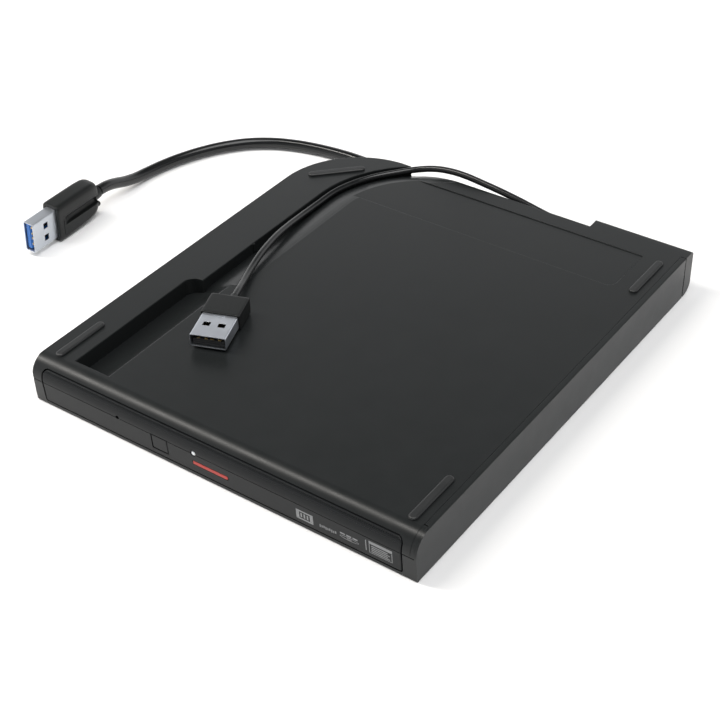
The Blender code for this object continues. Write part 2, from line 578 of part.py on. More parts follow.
# latch: solenoid and a hook that holds the drawer on the frame's pin
solenoid = box("latch_solenoid", (-39.6, -31.5), (-62.0, -52.0), (5.6, 10.2), STEEL)
hang(solenoid, tray_axis)
LATCH_PIVOT = (-30.5, -60.0)
LATCH_SWING = 24.0       # from engaged on the frame's pin to released
latch_axis = empty("latch_axis", (*LATCH_PIVOT, 11.7), tray_axis)
hook_shape = [(2.0, 1.0), (0.8, 2.2), (-1.2, 2.2), (-2.0, 1.0), (-2.0, -6.4), (-5.9, -6.4), (-6.0, -7.0), (-5.0, -8.0), (0.2, -8.4), (1.0, -7.4)]
_c, _s = math.cos(math.radians(LATCH_SWING)), math.sin(math.radians(LATCH_SWING))
hook = [(LATCH_PIVOT[0] + x * _c - y * _s, LATCH_PIVOT[1] + x * _s + y * _c) for x, y in hook_shape]
latch = flat("latch_hook", hook, 11.2, 12.2, "Z", STEEL)
cut(latch, cyl("latch_bore", (*LATCH_PIVOT, 11.6), 1.25, 4, "Z", cutter=True, seg=16))
hang(latch, latch_axis)
latch_post = cyl("latch_post", (*LATCH_PIVOT, 9.2), 0.95, 6.4, "Z", SHAFT, seg=16)
hang(latch_post, tray_axis)

# =============================================================================
# frame of the mechanism, fixed in the case
# =============================================================================
# shell facing the top cover
upper_shell = box("drive_shell_top", (-64.1, 64.1), (-79.2, 47.0), (1.9, 2.4), STEEL)
for nm, x in (("shell_side_l", (-64.1, -63.6)), ("shell_side_r", (63.6, 64.1))):
    join(upper_shell, box(nm, x, (-79.2, 47.0), (2.0, 4.6), cutter=True))
join(upper_shell, box("shell_rear", (-64.0, 64.0), (46.5, 47.0), (2.0, 4.6), cutter=True))
# shell facing the underside: full height on the right, low under the pocket
ls = [(-64.1, 4.9), (-64.1, 8.4), (-44.9, 8.4), (-44.9, 14.0), (64.1, 14.0), (64.1, 4.9), (63.6, 4.9), (63.6, 13.5),
      (-44.4, 13.5), (-44.4, 7.9), (-63.6, 7.9), (-63.6, 4.9)]
lower_shell = flat("drive_shell_bottom", ls, -79.2, 47.0, "Y", STEEL)
ls_end = [(-64.0, 4.9), (-64.0, 8.2), (-44.7, 8.2), (-44.7, 13.8), (64.0, 13.8), (64.0, 4.9)]
join(lower_shell, flat("shell_end", ls_end, 46.5, 47.0, "Y", cutter=True))
latch_pin = cyl("latch_pin_root", (-35.2, -69.5, 12.6), 0.7, 2.6, "Z", cutter=True, seg=14)
join(lower_shell, latch_pin)
cut(lower_shell, box("shell_connector_slot", (18.4, 47.6), (45, 49), (4.0, 9.9), cutter=True))
# telescopic rails: fixed guide, sliding rail, drawer tongue
RAIL_Z = (5.5, 7.4)
for side_name, s in (("left", -1), ("right", 1)):
    def xs(a, b):
        return (min(s * a, s * b), max(s * a, s * b))
    guide = box(f"rail_guide_{side_name}", xs(61.7, 63.3), (-46.0, 46.0), (5.0, 7.7), STEEL)
    cut(guide, box(f"guide_slot_{side_name}", xs(60.0, 62.95), (-60.0, 60.0), (5.35, 7.5 - 0.0), cutter=True))
    rail_axis = empty(f"rail_axis_{side_name}", (s * 61.8, -20, 6.45))
    rail = box(f"middle_rail_{side_name}", xs(60.4, 62.65), (-79.0, 45.4), (5.65, 7.2), BRIGHT)
    cut(rail, box(f"rail_slot_{side_name}", xs(60.0, 61.5), (-90.0, 60.0), (6.0, 6.95), cutter=True))
    hang(rail, rail_axis)

# connector on the drive's rear and the bridge board behind it
drive_connector = box("drive_connector", (18.8, 47.2), (44.9, 51.0), (4.95, 9.5), CHIP)
cut(drive_connector, box("connector_mouth", (20.2, 45.8), (47.6, 52.0), (6.0, 8.4), cutter=True))
bridge_board = box("bridge_board", (4.0, 66.0), (51.5, 76.4), (3.6, 4.6), BOARD)
board_plug = box("board_plug", (20.6, 45.4), (48.0, 56.5), (6.35, 8.05), CHIP)
join(board_plug, box("board_plug_foot", (20.6, 45.4), (52.2, 56.5), (4.9, 8.0), cutter=True))
bridge_chip = box("bridge_chip", (50.0, 59.0), (58.0, 67.0), (4.9, 6.0), CHIP)
crystal = box("crystal_can", (50.5, 54.5), (70.0, 72.2), (4.9, 6.1), BRIGHT)
bevel(crystal, 0.4, 2)
cap = cyl("bulk_capacitor", (12.0, 64.0, 8.0), 3.1, 6.2, "Z", BRIGHT, seg=24)
bevel(cap, 0.4, 2)
flex_cable = flat("flex_cable", [(-20.0, 12.85), (46.0, 12.85), (46.0, 13.05), (-20.0, 13.05)], -18.0, 2.0, "X", FLEX)

# =============================================================================
# leads: glands, cords, plugs
# =============================================================================
def turned(name, profile, centre, mat, seg=20, axis_dir=-1):
    """Solid turned about X through centre: profile is (distance, radius)."""
    bm = bmesh.new()
    rings = []
    for t, r in profile:
        ring = []
        for k in range(seg):
            a = 2 * math.pi * k / seg
            ring.append(bm.verts.new((axis_dir * t * MM, r * math.cos(a) * MM, r * math.sin(a) * MM)))
        rings.append(ring)
    for a, b in zip(rings, rings[1:]):
        for i in range(seg):
            bm.faces.new((a[i], a[(i + 1) % seg], b[(i + 1) % seg], b[i]))
    bm.faces.new(rings[0])
    bm.faces.new(rings[-1][::-1])
    bmesh.ops.recalc_face_normals(bm, faces=bm.faces)
    ob = new_mesh_object(name, bm, centre)
    return link(smooth(ob), mat)


# sleeves: strain relief that runs through the notch wall into the bay
turned("main_sleeve", [(-3.9, 2.0), (-3.6, 2.25), (3.0, 2.25), (4.3, 2.15)], (35.5, LEAD_Y, LEAD1_Z), LEAD)
turned("aux_sleeve", [(-3.9, 1.4), (-3.6, 1.6), (1.6, 1.6), (3.8, 1.3)], (35.5, LEAD_Y, LEAD2_Z), LEAD)


def catmull(points, n):
    """Smooth curve through the points, n equal steps along its length."""
    P = [Vector(p) for p in points]
    P = [2 * P[0] - P[1]] + P + [2 * P[-1] - P[-2]]
    fine = []
    for i in range(1, len(P) - 2):
        a, b, c, d = P[i - 1:i + 3]
        for k in range(24):
            t = k / 24
            fine.append(0.5 * ((2 * b) + (c - a) * t + (2 * a - 5 * b + 4 * c - d) * t * t
                               + (3 * b - a - 3 * c + d) * t ** 3))
    fine.append(P[-2])
    run = [0.0]
    for p, q in zip(fine, fine[1:]):
        run.append(run[-1] + (q - p).length)
    out, j = [], 0
    for k in range(n + 1):
        s = run[-1] * k / n
        while j < len(run) - 2 and run[j + 1] < s:
            j += 1
        f = (s - run[j]) / max(run[j + 1] - run[j], 1e-9)
        out.append(fine[j].lerp(fine[j + 1], min(max(f, 0.0), 1.0)))
    return out, run[-1]


def cord(name, points, dia, n, mat):
    pts, length = catmull(points, n)
    cu = bpy.data.curves.new(name, "CURVE")
    cu.dimensions = "3D"
    cu.bevel_depth = dia / 2 * MM
    cu.bevel_resolution = 2
    cu.use_fill_caps = True
    cu.twist_mode = "MINIMUM"
    sp = cu.splines.new("POLY")
    sp.points.add(len(pts) - 1)
    for p, q in zip(sp.points, pts):
        p.co = (q.x * MM, q.y * MM, q.z * MM, 1)
    tmp = bpy.data.objects.new(name + "_route", cu)
    bpy.context.scene.collection.objects.link(tmp)
    ob = link(from_curve(name, tmp), mat)
    return smooth(ob, 60), length


# the main lead runs along the bay, round the block and over the floor
MAIN_ROUTE = [(30.9, LEAD_Y, LEAD1_Z), (20.0, LEAD_Y, 5.2), (8.0, LEAD_Y, 5.1), (-6.0, 81.35, 4.9), (-20.0, 81.7, 4.6),
              (-32.0, 83.0, 4.2), (-44.0, 86.0, 3.5), (-54.0, 88.6, 2.8), (-63.0, 90.0, 2.45), (-72.8, 90.5, 2.4),
              (-80.5, 90.1, 2.4), (-88.8, 89.0, 2.4), (-98.0, 86.9, 2.4), (-107.2, 83.2, 2.4), (-115.3, 77.7, 2.4),
              (-121.7, 70.6, 2.4), (-126.5, 62.9, 2.4), (-130.2, 54.6, 2.4), (-132.7, 46.6, 2.4), (-134.1, 39.2, 2.5),
              (-134.6, 32.6, 3.0), (-134.6, 26.6, 4.4), (-134.5, 20.8, 6.4), (-134.3, 16.2, 7.6), (-134.13, 11.9, 7.95)]
# the auxiliary lead rises out of the bay, drops into the groove and follows
# its wall, then crosses the underside
AUX_ROUTE = [(31.3, LEAD_Y, LEAD2_Z), (23.0, LEAD_Y, 11.9), (15.0, LEAD_Y, 13.2), (6.7, 81.3, 14.8), (-1.6, 81.3, 16.1),
             (-10.0, 81.3, 17.1), (-16.4, 81.3, 17.7), (-22.8, 81.1, 17.7), (-29.3, 80.5, 16.9)]
for _a, _z in ((124.5, 15.5), (135.0, 14.7), (145.0, 14.5), (155.0, 14.45), (165.0, 14.45), (174.0, 14.45)):
    AUX_ROUTE.append((GROOVE_C[0] + 40.72 * math.cos(math.radians(_a)), GROOVE_C[1] + 40.72 * math.sin(math.radians(_a)), _z))
AUX_ROUTE += [(-53.3, 40.0, 14.5), (-52.9, 31.0, 15.0), (-51.8, 21.0, 16.0), (-50.2, 12.0, 16.9), (-47.6, 1.5, 17.5),
              (-44.6, -8.0, 17.6), (-41.6, -15.5, 18.1), (-39.1, -21.2, 18.9), (-37.5, -25.3, 19.2)]
main_lead, MAIN_LEN = cord("main_lead", MAIN_ROUTE, LEAD1_D, 46, LEAD)
aux_lead, AUX_LEN = cord("aux_lead", AUX_ROUTE, LEAD2_D, 48, LEAD)


def plug(prefix, tail, ang, roll, body_l, body_w, body_t, tongue_mat, tongue_z, nub_r, waist=0.0):
    """USB-A plug.  tail is the middle of the body's rear face; ang is its
    heading in plan; roll turns it about its own length.  Local +X is the way
    it plugs in, local Y its width, local Z its thickness."""
    place = (Matrix.Translation([c * MM for c in tail]) @ Matrix.Rotation(math.radians(ang), 4, "Z")
             @ Matrix.Rotation(math.radians(roll), 4, "X"))
    hw = body_w / 2
    if waist:
        pts = [(0, -hw + 2.2), (0.8, -hw), (6.0, -hw), (9.0, -hw + waist), (body_l - 6.5, -hw + waist), (body_l - 4.0, -hw),
               (body_l, -hw), (body_l, hw), (body_l - 4.0, hw), (body_l - 6.5, hw - waist), (9.0, hw - waist), (6.0, hw),
               (0.8, hw), (0, hw - 2.2)]
    else:
        pts = rounded(0, body_l, -hw, hw, 0.9, 3)
    body = flat(f"{prefix}_plug_body", pts, -body_t / 2, body_t / 2, "Z", PLUG)
    bore = box(f"{prefix}_shell_seat", (body_l - 3.0, body_l + 2), (-6.3, 6.3), (-2.55, 2.55), cutter=True)
    bore.matrix_world = place @ bore.matrix_basis
    shell = box(f"{prefix}_plug_shell", (body_l - 2.6, body_l + 11.8), (-6.0, 6.0), (-2.25, 2.25), BRIGHT)
    hollow = box(f"{prefix}_shell_hollow", (body_l - 2.2, body_l + 13), (-5.7, 5.7), (-1.95, 1.95), cutter=True)
    tongue = box(f"{prefix}_plug_tongue", (body_l - 1.9, body_l + 11.2), (-5.35, 5.35), tongue_z, tongue_mat)
    nub = cyl(f"{prefix}_plug_nub", (-1.2, 0, 0), nub_r - 0.4, 3.6, "X", cutter=True, seg=20, r2=nub_r)
    parts = [body, shell, tongue]
    for h in (-1, 1):
        win = box(f"{prefix}_shell_window_{h + 1}", (body_l + 5.0, body_l + 7.4), (h * 3.0 - 1.2, h * 3.0 + 1.2), (-4, 4), cutter=True)
        win.matrix_world = place @ win.matrix_basis
        cut(shell, win)
    hollow.matrix_world = place @ hollow.matrix_basis
    for p in parts:
        bpy.context.view_layer.update()
        p.matrix_world = place @ p.matrix_world
    nub.matrix_world = place @ nub.matrix_basis
    join(body, nub)
    cut(body, bore)
    cut(shell, hollow)
    bevel(body, 0.5, 2, 60)
    return parts


PLUG1_TAIL, PLUG1_ANG = (-134.0, 8.3, 7.95), -88.0
plug("main", PLUG1_TAIL, PLUG1_ANG, 86.0, 22.0, 14.8, 7.8, BLUE, (-0.15, 1.65), 2.9, waist=1.1)
PLUG2_TAIL, PLUG2_ANG = (-36.3, -28.4, 19.2), -70.2
plug("aux", PLUG2_TAIL, PLUG2_ANG, 0.0, 10.4, 13.0, 5.8, CHIP, (-1.65, 0.15), 1.9)
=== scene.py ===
import math
import random
import bmesh
import bpy
from mathutils import Matrix, Vector


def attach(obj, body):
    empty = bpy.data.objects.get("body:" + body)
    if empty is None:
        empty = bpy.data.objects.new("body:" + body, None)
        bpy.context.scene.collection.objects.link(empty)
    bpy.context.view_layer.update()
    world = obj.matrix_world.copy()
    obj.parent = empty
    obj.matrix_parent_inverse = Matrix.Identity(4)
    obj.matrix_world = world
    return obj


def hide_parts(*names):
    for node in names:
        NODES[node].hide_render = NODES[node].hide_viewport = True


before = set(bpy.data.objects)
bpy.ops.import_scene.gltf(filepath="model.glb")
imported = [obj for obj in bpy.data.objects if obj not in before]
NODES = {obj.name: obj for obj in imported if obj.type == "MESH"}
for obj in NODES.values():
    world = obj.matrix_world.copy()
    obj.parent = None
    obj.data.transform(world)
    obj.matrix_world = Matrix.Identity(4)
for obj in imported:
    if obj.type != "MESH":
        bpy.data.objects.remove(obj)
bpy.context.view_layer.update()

MM = 0.001
SCENE = bpy.context.scene

# ============================================================================
# camera
# ============================================================================
cam_data = bpy.data.cameras.new("view")
cam_data.lens = 77.577
cam_data.sensor_width = 36.0
cam_data.clip_start, cam_data.clip_end = 0.02, 20.0
camera = bpy.data.objects.new("view", cam_data)
SCENE.collection.objects.link(camera)
_r = (0.81487557, 0.57908344, -0.02530176)
_u = (-0.33700629, 0.50884046, 0.79215412)
_f = (-0.47159789, 0.63698019, -0.60979642)
_p = (0.239623, -0.332432, 0.308303)
camera.matrix_world = Matrix([[_r[i], _u[i], -_f[i], _p[i]] for i in range(3)] + [[0, 0, 0, 1]])
SCENE.camera = camera
SCENE.view_settings.view_transform = "Standard"


# ============================================================================
# procedural materials, in metres of object space
# ============================================================================
class Graph:
    def __init__(self, name):
        self.m = bpy.data.materials.new(name)
        self.m.use_nodes = True
        self.t = self.m.node_tree
        self.t.nodes.clear()
        self.out = self.t.nodes.new("ShaderNodeOutputMaterial")
        self.b = self.t.nodes.new("ShaderNodeBsdfPrincipled")
        self.t.links.new(self.b.outputs[0], self.out.inputs[0])
        self.c = self.t.nodes.new("ShaderNodeTexCoord")

    def add(self, kind, **kw):
        n = self.t.nodes.new(kind)
        for k, v in kw.items():
            setattr(n, k, v)
        return n

    def link(self, a, b):
        self.t.links.new(a, b)

    def coords(self, scale=(1, 1, 1), rot=(0, 0, 0)):
        mp = self.add("ShaderNodeMapping")
        mp.inputs["Scale"].default_value = scale
        mp.inputs["Rotation"].default_value = rot
        self.link(self.c.outputs["Object"], mp.inputs["Vector"])
        return mp.outputs[0]

    def noise(self, size_mm, detail=3.0, rough=0.55, stretch=(1, 1, 1), rot=(0, 0, 0)):
        n = self.add("ShaderNodeTexNoise")
        n.inputs["Scale"].default_value = 1.0 / (size_mm * MM)
        n.inputs["Detail"].default_value = detail
        n.inputs["Roughness"].default_value = rough
        self.link(self.coords(stretch, rot), n.inputs["Vector"])
        return n.outputs["Fac"]

    def span(self, fac, lo, hi, a=0.3, b=0.7):
        r = self.add("ShaderNodeMapRange")
        r.inputs["From Min"].default_value, r.inputs["From Max"].default_value = a, b
        r.inputs["To Min"].default_value, r.inputs["To Max"].default_value = lo, hi
        self.link(fac, r.inputs["Value"])
        return r.outputs[0]

    def blend(self, fac, c1, c2):
        x = self.add("ShaderNodeMix", data_type="RGBA")
        for s, v in ((6, c1), (7, c2)):
            if isinstance(v, tuple):
                x.inputs[s].default_value = (*v, 1.0)
            else:
                self.link(v, x.inputs[s])
        if isinstance(fac, float):
            x.inputs[0].default_value = fac
        else:
            self.link(fac, x.inputs[0])
        return x.outputs[2]

    def bump(self, height, strength, dist_mm, chain=None):
        b = self.add("ShaderNodeBump")
        b.inputs["Strength"].default_value = strength
        b.inputs["Distance"].default_value = dist_mm * MM
        self.link(height, b.inputs["Height"])
        if chain is not None:
            self.link(chain, b.inputs["Normal"])
        return b.outputs[0]

    def set(self, name, v):
        s = self.b.inputs[name]
        if isinstance(v, (int, float)):
            s.default_value = v
        elif isinstance(v, tuple):
            s.default_value = (*v, 1.0) if len(s.default_value) == 4 else v
        else:
            self.link(v, s)


def shade(rgb, k):
    return tuple(min(c * k, 1.0) for c in rgb)


def moulding(name, rgb, rough, grain=0.16, depth=0.35, mottle=0.07, spec=0.5, swing=0.05):
    """Moulded plastic: spark-eroded grain, faint cloudiness, uneven gloss."""
    g = Graph(name)
    cloud = g.noise(22.0, 4.0, 0.6)
    fine = g.noise(grain, 2.0, 0.5)
    g.set("Base Color", g.blend(g.span(cloud, 0.0, 1.0), shade(rgb, 1 - mottle), shade(rgb, 1 + mottle)))
    g.set("Roughness", g.span(g.noise(6.0, 3.0), rough - swing, rough + swing))
    g.set("Specular IOR Level", spec)
    n = g.bump(fine, depth, 0.02)
    g.set("Normal", g.bump(g.noise(grain * 5, 2.0), depth * 0.35, 0.04, n))
    return g.m


def metal(name, rgb, rough, brush=None, rot=0.0, streak=0.12, cloud_mm=9.0):
    """Plated or bare sheet: brushed or rolled streaks, cloudy plating."""
    g = Graph(name)
    cloud = g.noise(cloud_mm, 4.0, 0.6)
    lines = g.noise(0.22, 3.0, 0.6, stretch=(0.02, 1.0, 1.0) if brush == "x" else (1.0, 0.02, 1.0), rot=(0, 0, rot))
    g.set("Metallic", 1.0)
    g.set("Base Color", g.blend(g.span(cloud, 0.0, 1.0), shade(rgb, 0.92), shade(rgb, 1.06)))
    g.set("Roughness", g.span(lines if brush else cloud, rough - 0.03, rough + 0.05))
    g.set("Normal", g.bump(lines if brush else g.noise(0.5, 2.0), streak, 0.01))
    return g.m


CASE = moulding("case_plastic", (0.0122, 0.0137, 0.014), 0.315, grain=0.2, depth=0.18, mottle=0.04, spec=0.25, swing=0.025)
BEZEL = moulding("bezel_plastic", (0.0118, 0.013, 0.0138), 0.31, grain=0.2, depth=0.18, mottle=0.04, spec=0.15, swing=0.025)
FOOT = moulding("foot_rubber", (0.011, 0.012, 0.0124), 0.42, grain=0.3, depth=0.3, mottle=0.1, spec=0.45)
DARK = moulding("inner_nylon", (0.013, 0.0132, 0.014), 0.38, grain=0.25, depth=0.4)
CHIP = moulding("chip_epoxy", (0.016, 0.016, 0.017), 0.55, grain=0.12, depth=0.5)
RUBBER = moulding("damper_rubber", (0.028, 0.02, 0.018), 0.75, grain=0.4, depth=0.7, mottle=0.2)
PLUGM = moulding("plug_moulding", (0.0075, 0.0085, 0.0085), 0.36, grain=0.14, depth=0.3, mottle=0.08, spec=0.26)
RED = moulding("accent_red", (0.42, 0.03, 0.02), 0.38, grain=0.15, depth=0.2, mottle=0.06)
BLUE = moulding("tongue_blue", (0.022, 0.165, 0.56), 0.36, grain=0.15, depth=0.2, mottle=0.05)
GREY_TONGUE = moulding("tongue_black", (0.02, 0.021, 0.022), 0.42, grain=0.15, depth=0.2)
STEEL = metal("zinc_sheet", (0.56, 0.57, 0.58), 0.36, brush="y", streak=0.05)
NICKEL = metal("nickel_shell", (0.58, 0.61, 0.655), 0.39, streak=0.02, cloud_mm=12.0)
RAILM = metal("rail_steel", (0.62, 0.63, 0.64), 0.24, brush="y")
SHAFT = metal("ground_shaft", (0.7, 0.7, 0.71), 0.14)
GOLD = metal("contact_gold", (0.83, 0.61, 0.26), 0.22)
COPPER = metal("solder_tin", (0.66, 0.66, 0.64), 0.3, cloud_mm=2.0)


def mark_ink():
    """Pale silkscreen ink, a little thin in places."""
    g = Graph("mark_ink")
    g.set("Base Color", g.blend(g.span(g.noise(0.5, 3.0), 0.0, 1.0, 0.35, 0.65), (0.20, 0.205, 0.21), (0.27, 0.275, 0.28)))
    g.set("Roughness", g.span(g.noise(0.4), 0.5, 0.62))
    g.set("Normal", g.bump(g.noise(0.2), 0.2, 0.01))
    return g.m


def sheath():
    """Glossy PVC sheath with slight waviness."""
    g = Graph("lead_sheath")
    g.set("Base Color", g.blend(g.span(g.noise(8.0), 0.0, 1.0), (0.0065, 0.0072, 0.0076), (0.0095, 0.0102, 0.0106)))
    g.set("Roughness", g.span(g.noise(3.0, 3.0), 0.17, 0.24))
    n = g.bump(g.noise(0.5, 2.0), 0.12, 0.02)
    g.set("Normal", g.bump(g.noise(5.0, 1.0), 0.12, 0.04, n))
    g.set("Specular IOR Level", 0.36)
    g.set("Coat Weight", 0.12)
    g.set("Coat Roughness", 0.1)
    return g.m


def guide():
    """Milky light guide."""
    g = Graph("light_guide")
    g.set("Base Color", g.blend(g.span(g.noise(0.8), 0.0, 1.0), (0.72, 0.75, 0.78), (0.84, 0.86, 0.88)))
    g.set("Roughness", g.span(g.noise(0.5), 0.18, 0.28))
    g.set("Subsurface Weight", 0.3)
    g.set("Subsurface Radius", (0.0006, 0.0006, 0.0007))
    g.set("Normal", g.bump(g.noise(0.3), 0.1, 0.01))
    return g.m


def laminate():
    """Circuit board: solder mask with copper tracks showing under it."""
    g = Graph("circuit_board")
    w = g.add("ShaderNodeTexVoronoi", distance="MANHATTAN", feature="DISTANCE_TO_EDGE")
    w.inputs["Scale"].default_value = 1 / (2.6 * MM)
    g.link(g.coords((1, 1, 0.05)), w.inputs["Vector"])
    tracks = g.span(w.outputs[0], 1.0, 0.0, 0.03, 0.07)
    br = g.add("ShaderNodeTexBrick")
    br.inputs["Scale"].default_value = 1 / (5.0 * MM)
    br.inputs["Mortar Size"].default_value = 0.035
    g.link(g.coords((1, 1, 0.05), (0, 0, math.radians(45))), br.inputs["Vector"])
    mask = g.blend(g.span(g.noise(12.0), 0.0, 1.0), (0.008, 0.062, 0.028), (0.012, 0.085, 0.038))
    lit = g.blend(tracks, mask, (0.02, 0.15, 0.07))
    g.set("Base Color", g.blend(br.outputs["Fac"], lit, (0.018, 0.13, 0.06)))
    g.set("Roughness", g.span(g.noise(2.0), 0.28, 0.4))
    g.set("Normal", g.bump(tracks, 0.5, 0.03))
    return g.m


def film():
    """Amber polyimide strip with printed conductors."""
    g = Graph("flex_film")
    w = g.add("ShaderNodeTexWave", wave_type="BANDS", bands_direction="X")
    w.inputs["Scale"].default_value = 1 / (2.2 * MM)
    g.link(g.c.outputs["Object"], w.inputs["Vector"])
    g.set("Base Color", g.blend(g.span(w.outputs[1], 0.0, 1.0, 0.4, 0.6), (0.36, 0.17, 0.035), (0.52, 0.26, 0.07)))
    g.set("Roughness", g.span(g.noise(3.0), 0.22, 0.34))
    g.set("Normal", g.bump(w.outputs[1], 0.3, 0.03))
    return g.m


def optic():
    g = Graph("lens_glass")
    g.set("Base Color", g.blend(g.span(g.noise(1.5), 0.0, 1.0), (0.30, 0.40, 0.62), (0.40, 0.50, 0.72)))
    g.set("Roughness", g.span(g.noise(0.8), 0.03, 0.06))
    g.set("Transmission Weight", 0.6)
    g.set("IOR", 1.5)
    g.set("Coat Weight", 0.8)
    return g.m


INK, PVC, GUIDE, BOARD, FILM, OPTIC = mark_ink(), sheath(), guide(), laminate(), film(), optic()


# ============================================================================
# mesh helpers; every outline below is in millimetres
# ============================================================================
def put(name, bm, mat=None, xf=None):
    bmesh.ops.recalc_face_normals(bm, faces=bm.faces)
    me = bpy.data.meshes.new(name)
    bm.to_mesh(me)
    bm.free()
    if xf is not None:
        me.transform(xf)
    ob = bpy.data.objects.new(name, me)
    SCENE.collection.objects.link(ob)
    if mat is not None:
        me.materials.append(mat)
    return ob


def prism(name, pts, lo, hi, axis="Z", mat=None):
    place = {"Z": lambda a, b, t: (a, b, t), "X": lambda a, b, t: (t, a, b), "Y": lambda a, b, t: (a, t, b)}[axis]
    bm = bmesh.new()
    low = [bm.verts.new([c * MM for c in place(a, b, lo)]) for a, b in pts]
    top = [bm.verts.new([c * MM for c in place(a, b, hi)]) for a, b in pts]
    n = len(pts)
    for i in range(n):
        bm.faces.new((low[i], low[(i + 1) % n], top[(i + 1) % n], top[i]))
    bm.faces.new(low[::-1])
    bm.faces.new(top)
    return put(name, bm, mat)


def block(name, x, y, z, mat=None):
    return prism(name, [(x[0], y[0]), (x[1], y[0]), (x[1], y[1]), (x[0], y[1])], z[0], z[1], "Z", mat)


def arc(cx, cy, r, a0, a1, n):
    return [(cx + r * math.cos(math.radians(a0 + (a1 - a0) * i / n)), cy + r * math.sin(math.radians(a0 + (a1 - a0) * i / n)))
            for i in range(n + 1)]


def rounded(x0, x1, y0, y1, r, n=6):
    return (arc(x1 - r, y0 + r, r, -90, 0, n) + arc(x1 - r, y1 - r, r, 0, 90, n)
            + arc(x0 + r, y1 - r, r, 90, 180, n) + arc(x0 + r, y0 + r, r, 180, 270, n))


def loft(name, rings, mat=None, xf=None, caps=True):
    bm = bmesh.new()
    vs = [[bm.verts.new([c * MM for c in p]) for p in ring] for ring in rings]
    n = len(vs[0])
    for a, b in zip(vs, vs[1:]):
        for i in range(n):
            bm.faces.new((a[i], a[(i + 1) % n], b[(i + 1) % n], b[i]))
    if caps:
        bm.faces.new(vs[0][::-1])
        bm.faces.new(vs[-1])
    return put(name, bm, mat, xf)


def bake(ob):
    """Take the modifiers' result as the object's own mesh."""
    bpy.context.view_layer.update()
    me = bpy.data.meshes.new_from_object(ob.evaluated_get(bpy.context.evaluated_depsgraph_get()))
    ob.modifiers.clear()
    old, ob.data = ob.data, me
    bpy.data.meshes.remove(old)
    return ob


def carve(ob, *cutters, op="DIFFERENCE"):
    for c in cutters:
        m = ob.modifiers.new("b", "BOOLEAN")
        m.operation, m.solver, m.object = op, "EXACT", c
        bake(ob)
        bpy.data.objects.remove(c, do_unlink=True)
    return ob


def add(ob, *parts):
    return carve(ob, *parts, op="UNION")


def tidy(ob):
    """Weld, then merge the flat faces that the cuts split."""
    bm = bmesh.new()
    bm.from_mesh(ob.data)
    bmesh.ops.remove_doubles(bm, verts=bm.verts, dist=1.5e-5)
    bmesh.ops.dissolve_degenerate(bm, edges=bm.edges, dist=1e-5)
    bmesh.ops.dissolve_limit(bm, angle_limit=math.radians(0.03), verts=bm.verts, edges=bm.edges)
    bm.to_mesh(ob.data)
    bm.free()
    return ob


def round_edges(ob, rule, width, segments=2, angle=28):
    """Bevel the edges that rule picks; its weight scales the width (mm)."""
    bm = bmesh.new()
    bm.from_mesh(ob.data)
    lay = bm.edges.layers.float.get("bevel_weight_edge") or bm.edges.layers.float.new("bevel_weight_edge")
    for e in bm.edges:
        w = 0.0
        if len(e.link_faces) == 2 and e.calc_face_angle(0.0) > math.radians(angle) and e.calc_length() > 4e-5:
            if min(f.normal.z for f in e.link_faces) < 0.985 or angle < 0:
                a, b = (v.co / MM for v in e.verts)
                w = rule(a, b)
        e[lay] = w
    bm.to_mesh(ob.data)
    bm.free()
    m = ob.modifiers.new("edge", "BEVEL")
    m.limit_method = "WEIGHT"
    m.width = width * MM
    m.segments = segments
    m.use_clamp_overlap = False
    m.miter_outer = "MITER_ARC"
    bake(ob)
    return ob


def soften(ob, width=0.12, segments=2, angle=32):
    m = ob.modifiers.new("edge", "BEVEL")
    m.width, m.segments, m.limit_method, m.angle_limit = width * MM, segments, "ANGLE", math.radians(angle)
    m.use_clamp_overlap = True
    return bake(ob)


def settle(ob, body, mat=None, angle=38, cad=(), weighted=True):
    """Smooth shading, finish, body and the CAD nodes that it stands for."""
    me = ob.data
    if mat is not None:
        me.materials.clear()
        me.materials.append(mat)
    for p in me.polygons:
        p.use_smooth = True
    me.set_sharp_from_angle(angle=math.radians(angle))
    if weighted:
        w = ob.modifiers.new("normals", "WEIGHTED_NORMAL")
        w.keep_sharp = True
        w.weight = 90
    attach(ob, body)
    if cad:
        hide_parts(*cad)
    return ob


# ============================================================================
# leads: camera and cords come first
# ============================================================================
LEAD_Y, LEAD1_Z, LEAD2_Z = 81.3, 5.2, 11.3
LEAD1_D, LEAD2_D = 4.2, 2.4
GROOVE_X, GROOVE_R = -55.2, 42.5
GROOVE_C = (GROOVE_X + GROOVE_R, 45.0)

MAIN_ROUTE = [(30.9, LEAD_Y, LEAD1_Z), (20.0, LEAD_Y, 5.2), (8.0, LEAD_Y, 5.1), (-6.0, 81.35, 4.9), (-20.0, 81.7, 4.6),
              (-32.0, 83.0, 4.2), (-44.0, 86.0, 3.5), (-54.0, 88.6, 2.8), (-63.0, 90.0, 2.45), (-72.8, 90.5, 2.4),
              (-80.5, 90.1, 2.4), (-88.8, 89.0, 2.4), (-98.0, 86.9, 2.4), (-107.2, 83.2, 2.4), (-115.3, 77.7, 2.4),
              (-121.7, 70.6, 2.4), (-126.5, 62.9, 2.4), (-130.2, 54.6, 2.4), (-132.7, 46.6, 2.4), (-134.1, 39.2, 2.5),
              (-134.6, 32.6, 3.0), (-134.6, 26.6, 4.4), (-134.5, 20.8, 6.4), (-134.3, 16.2, 7.6), (-134.13, 11.9, 7.95)]
AUX_ROUTE = [(31.3, LEAD_Y, LEAD2_Z), (23.0, LEAD_Y, 11.9), (15.0, LEAD_Y, 13.2), (6.7, 81.3, 14.8), (-1.6, 81.3, 16.1),
             (-10.0, 81.3, 17.1), (-16.4, 81.3, 17.7), (-22.8, 81.1, 17.7), (-29.3, 80.5, 16.9)]
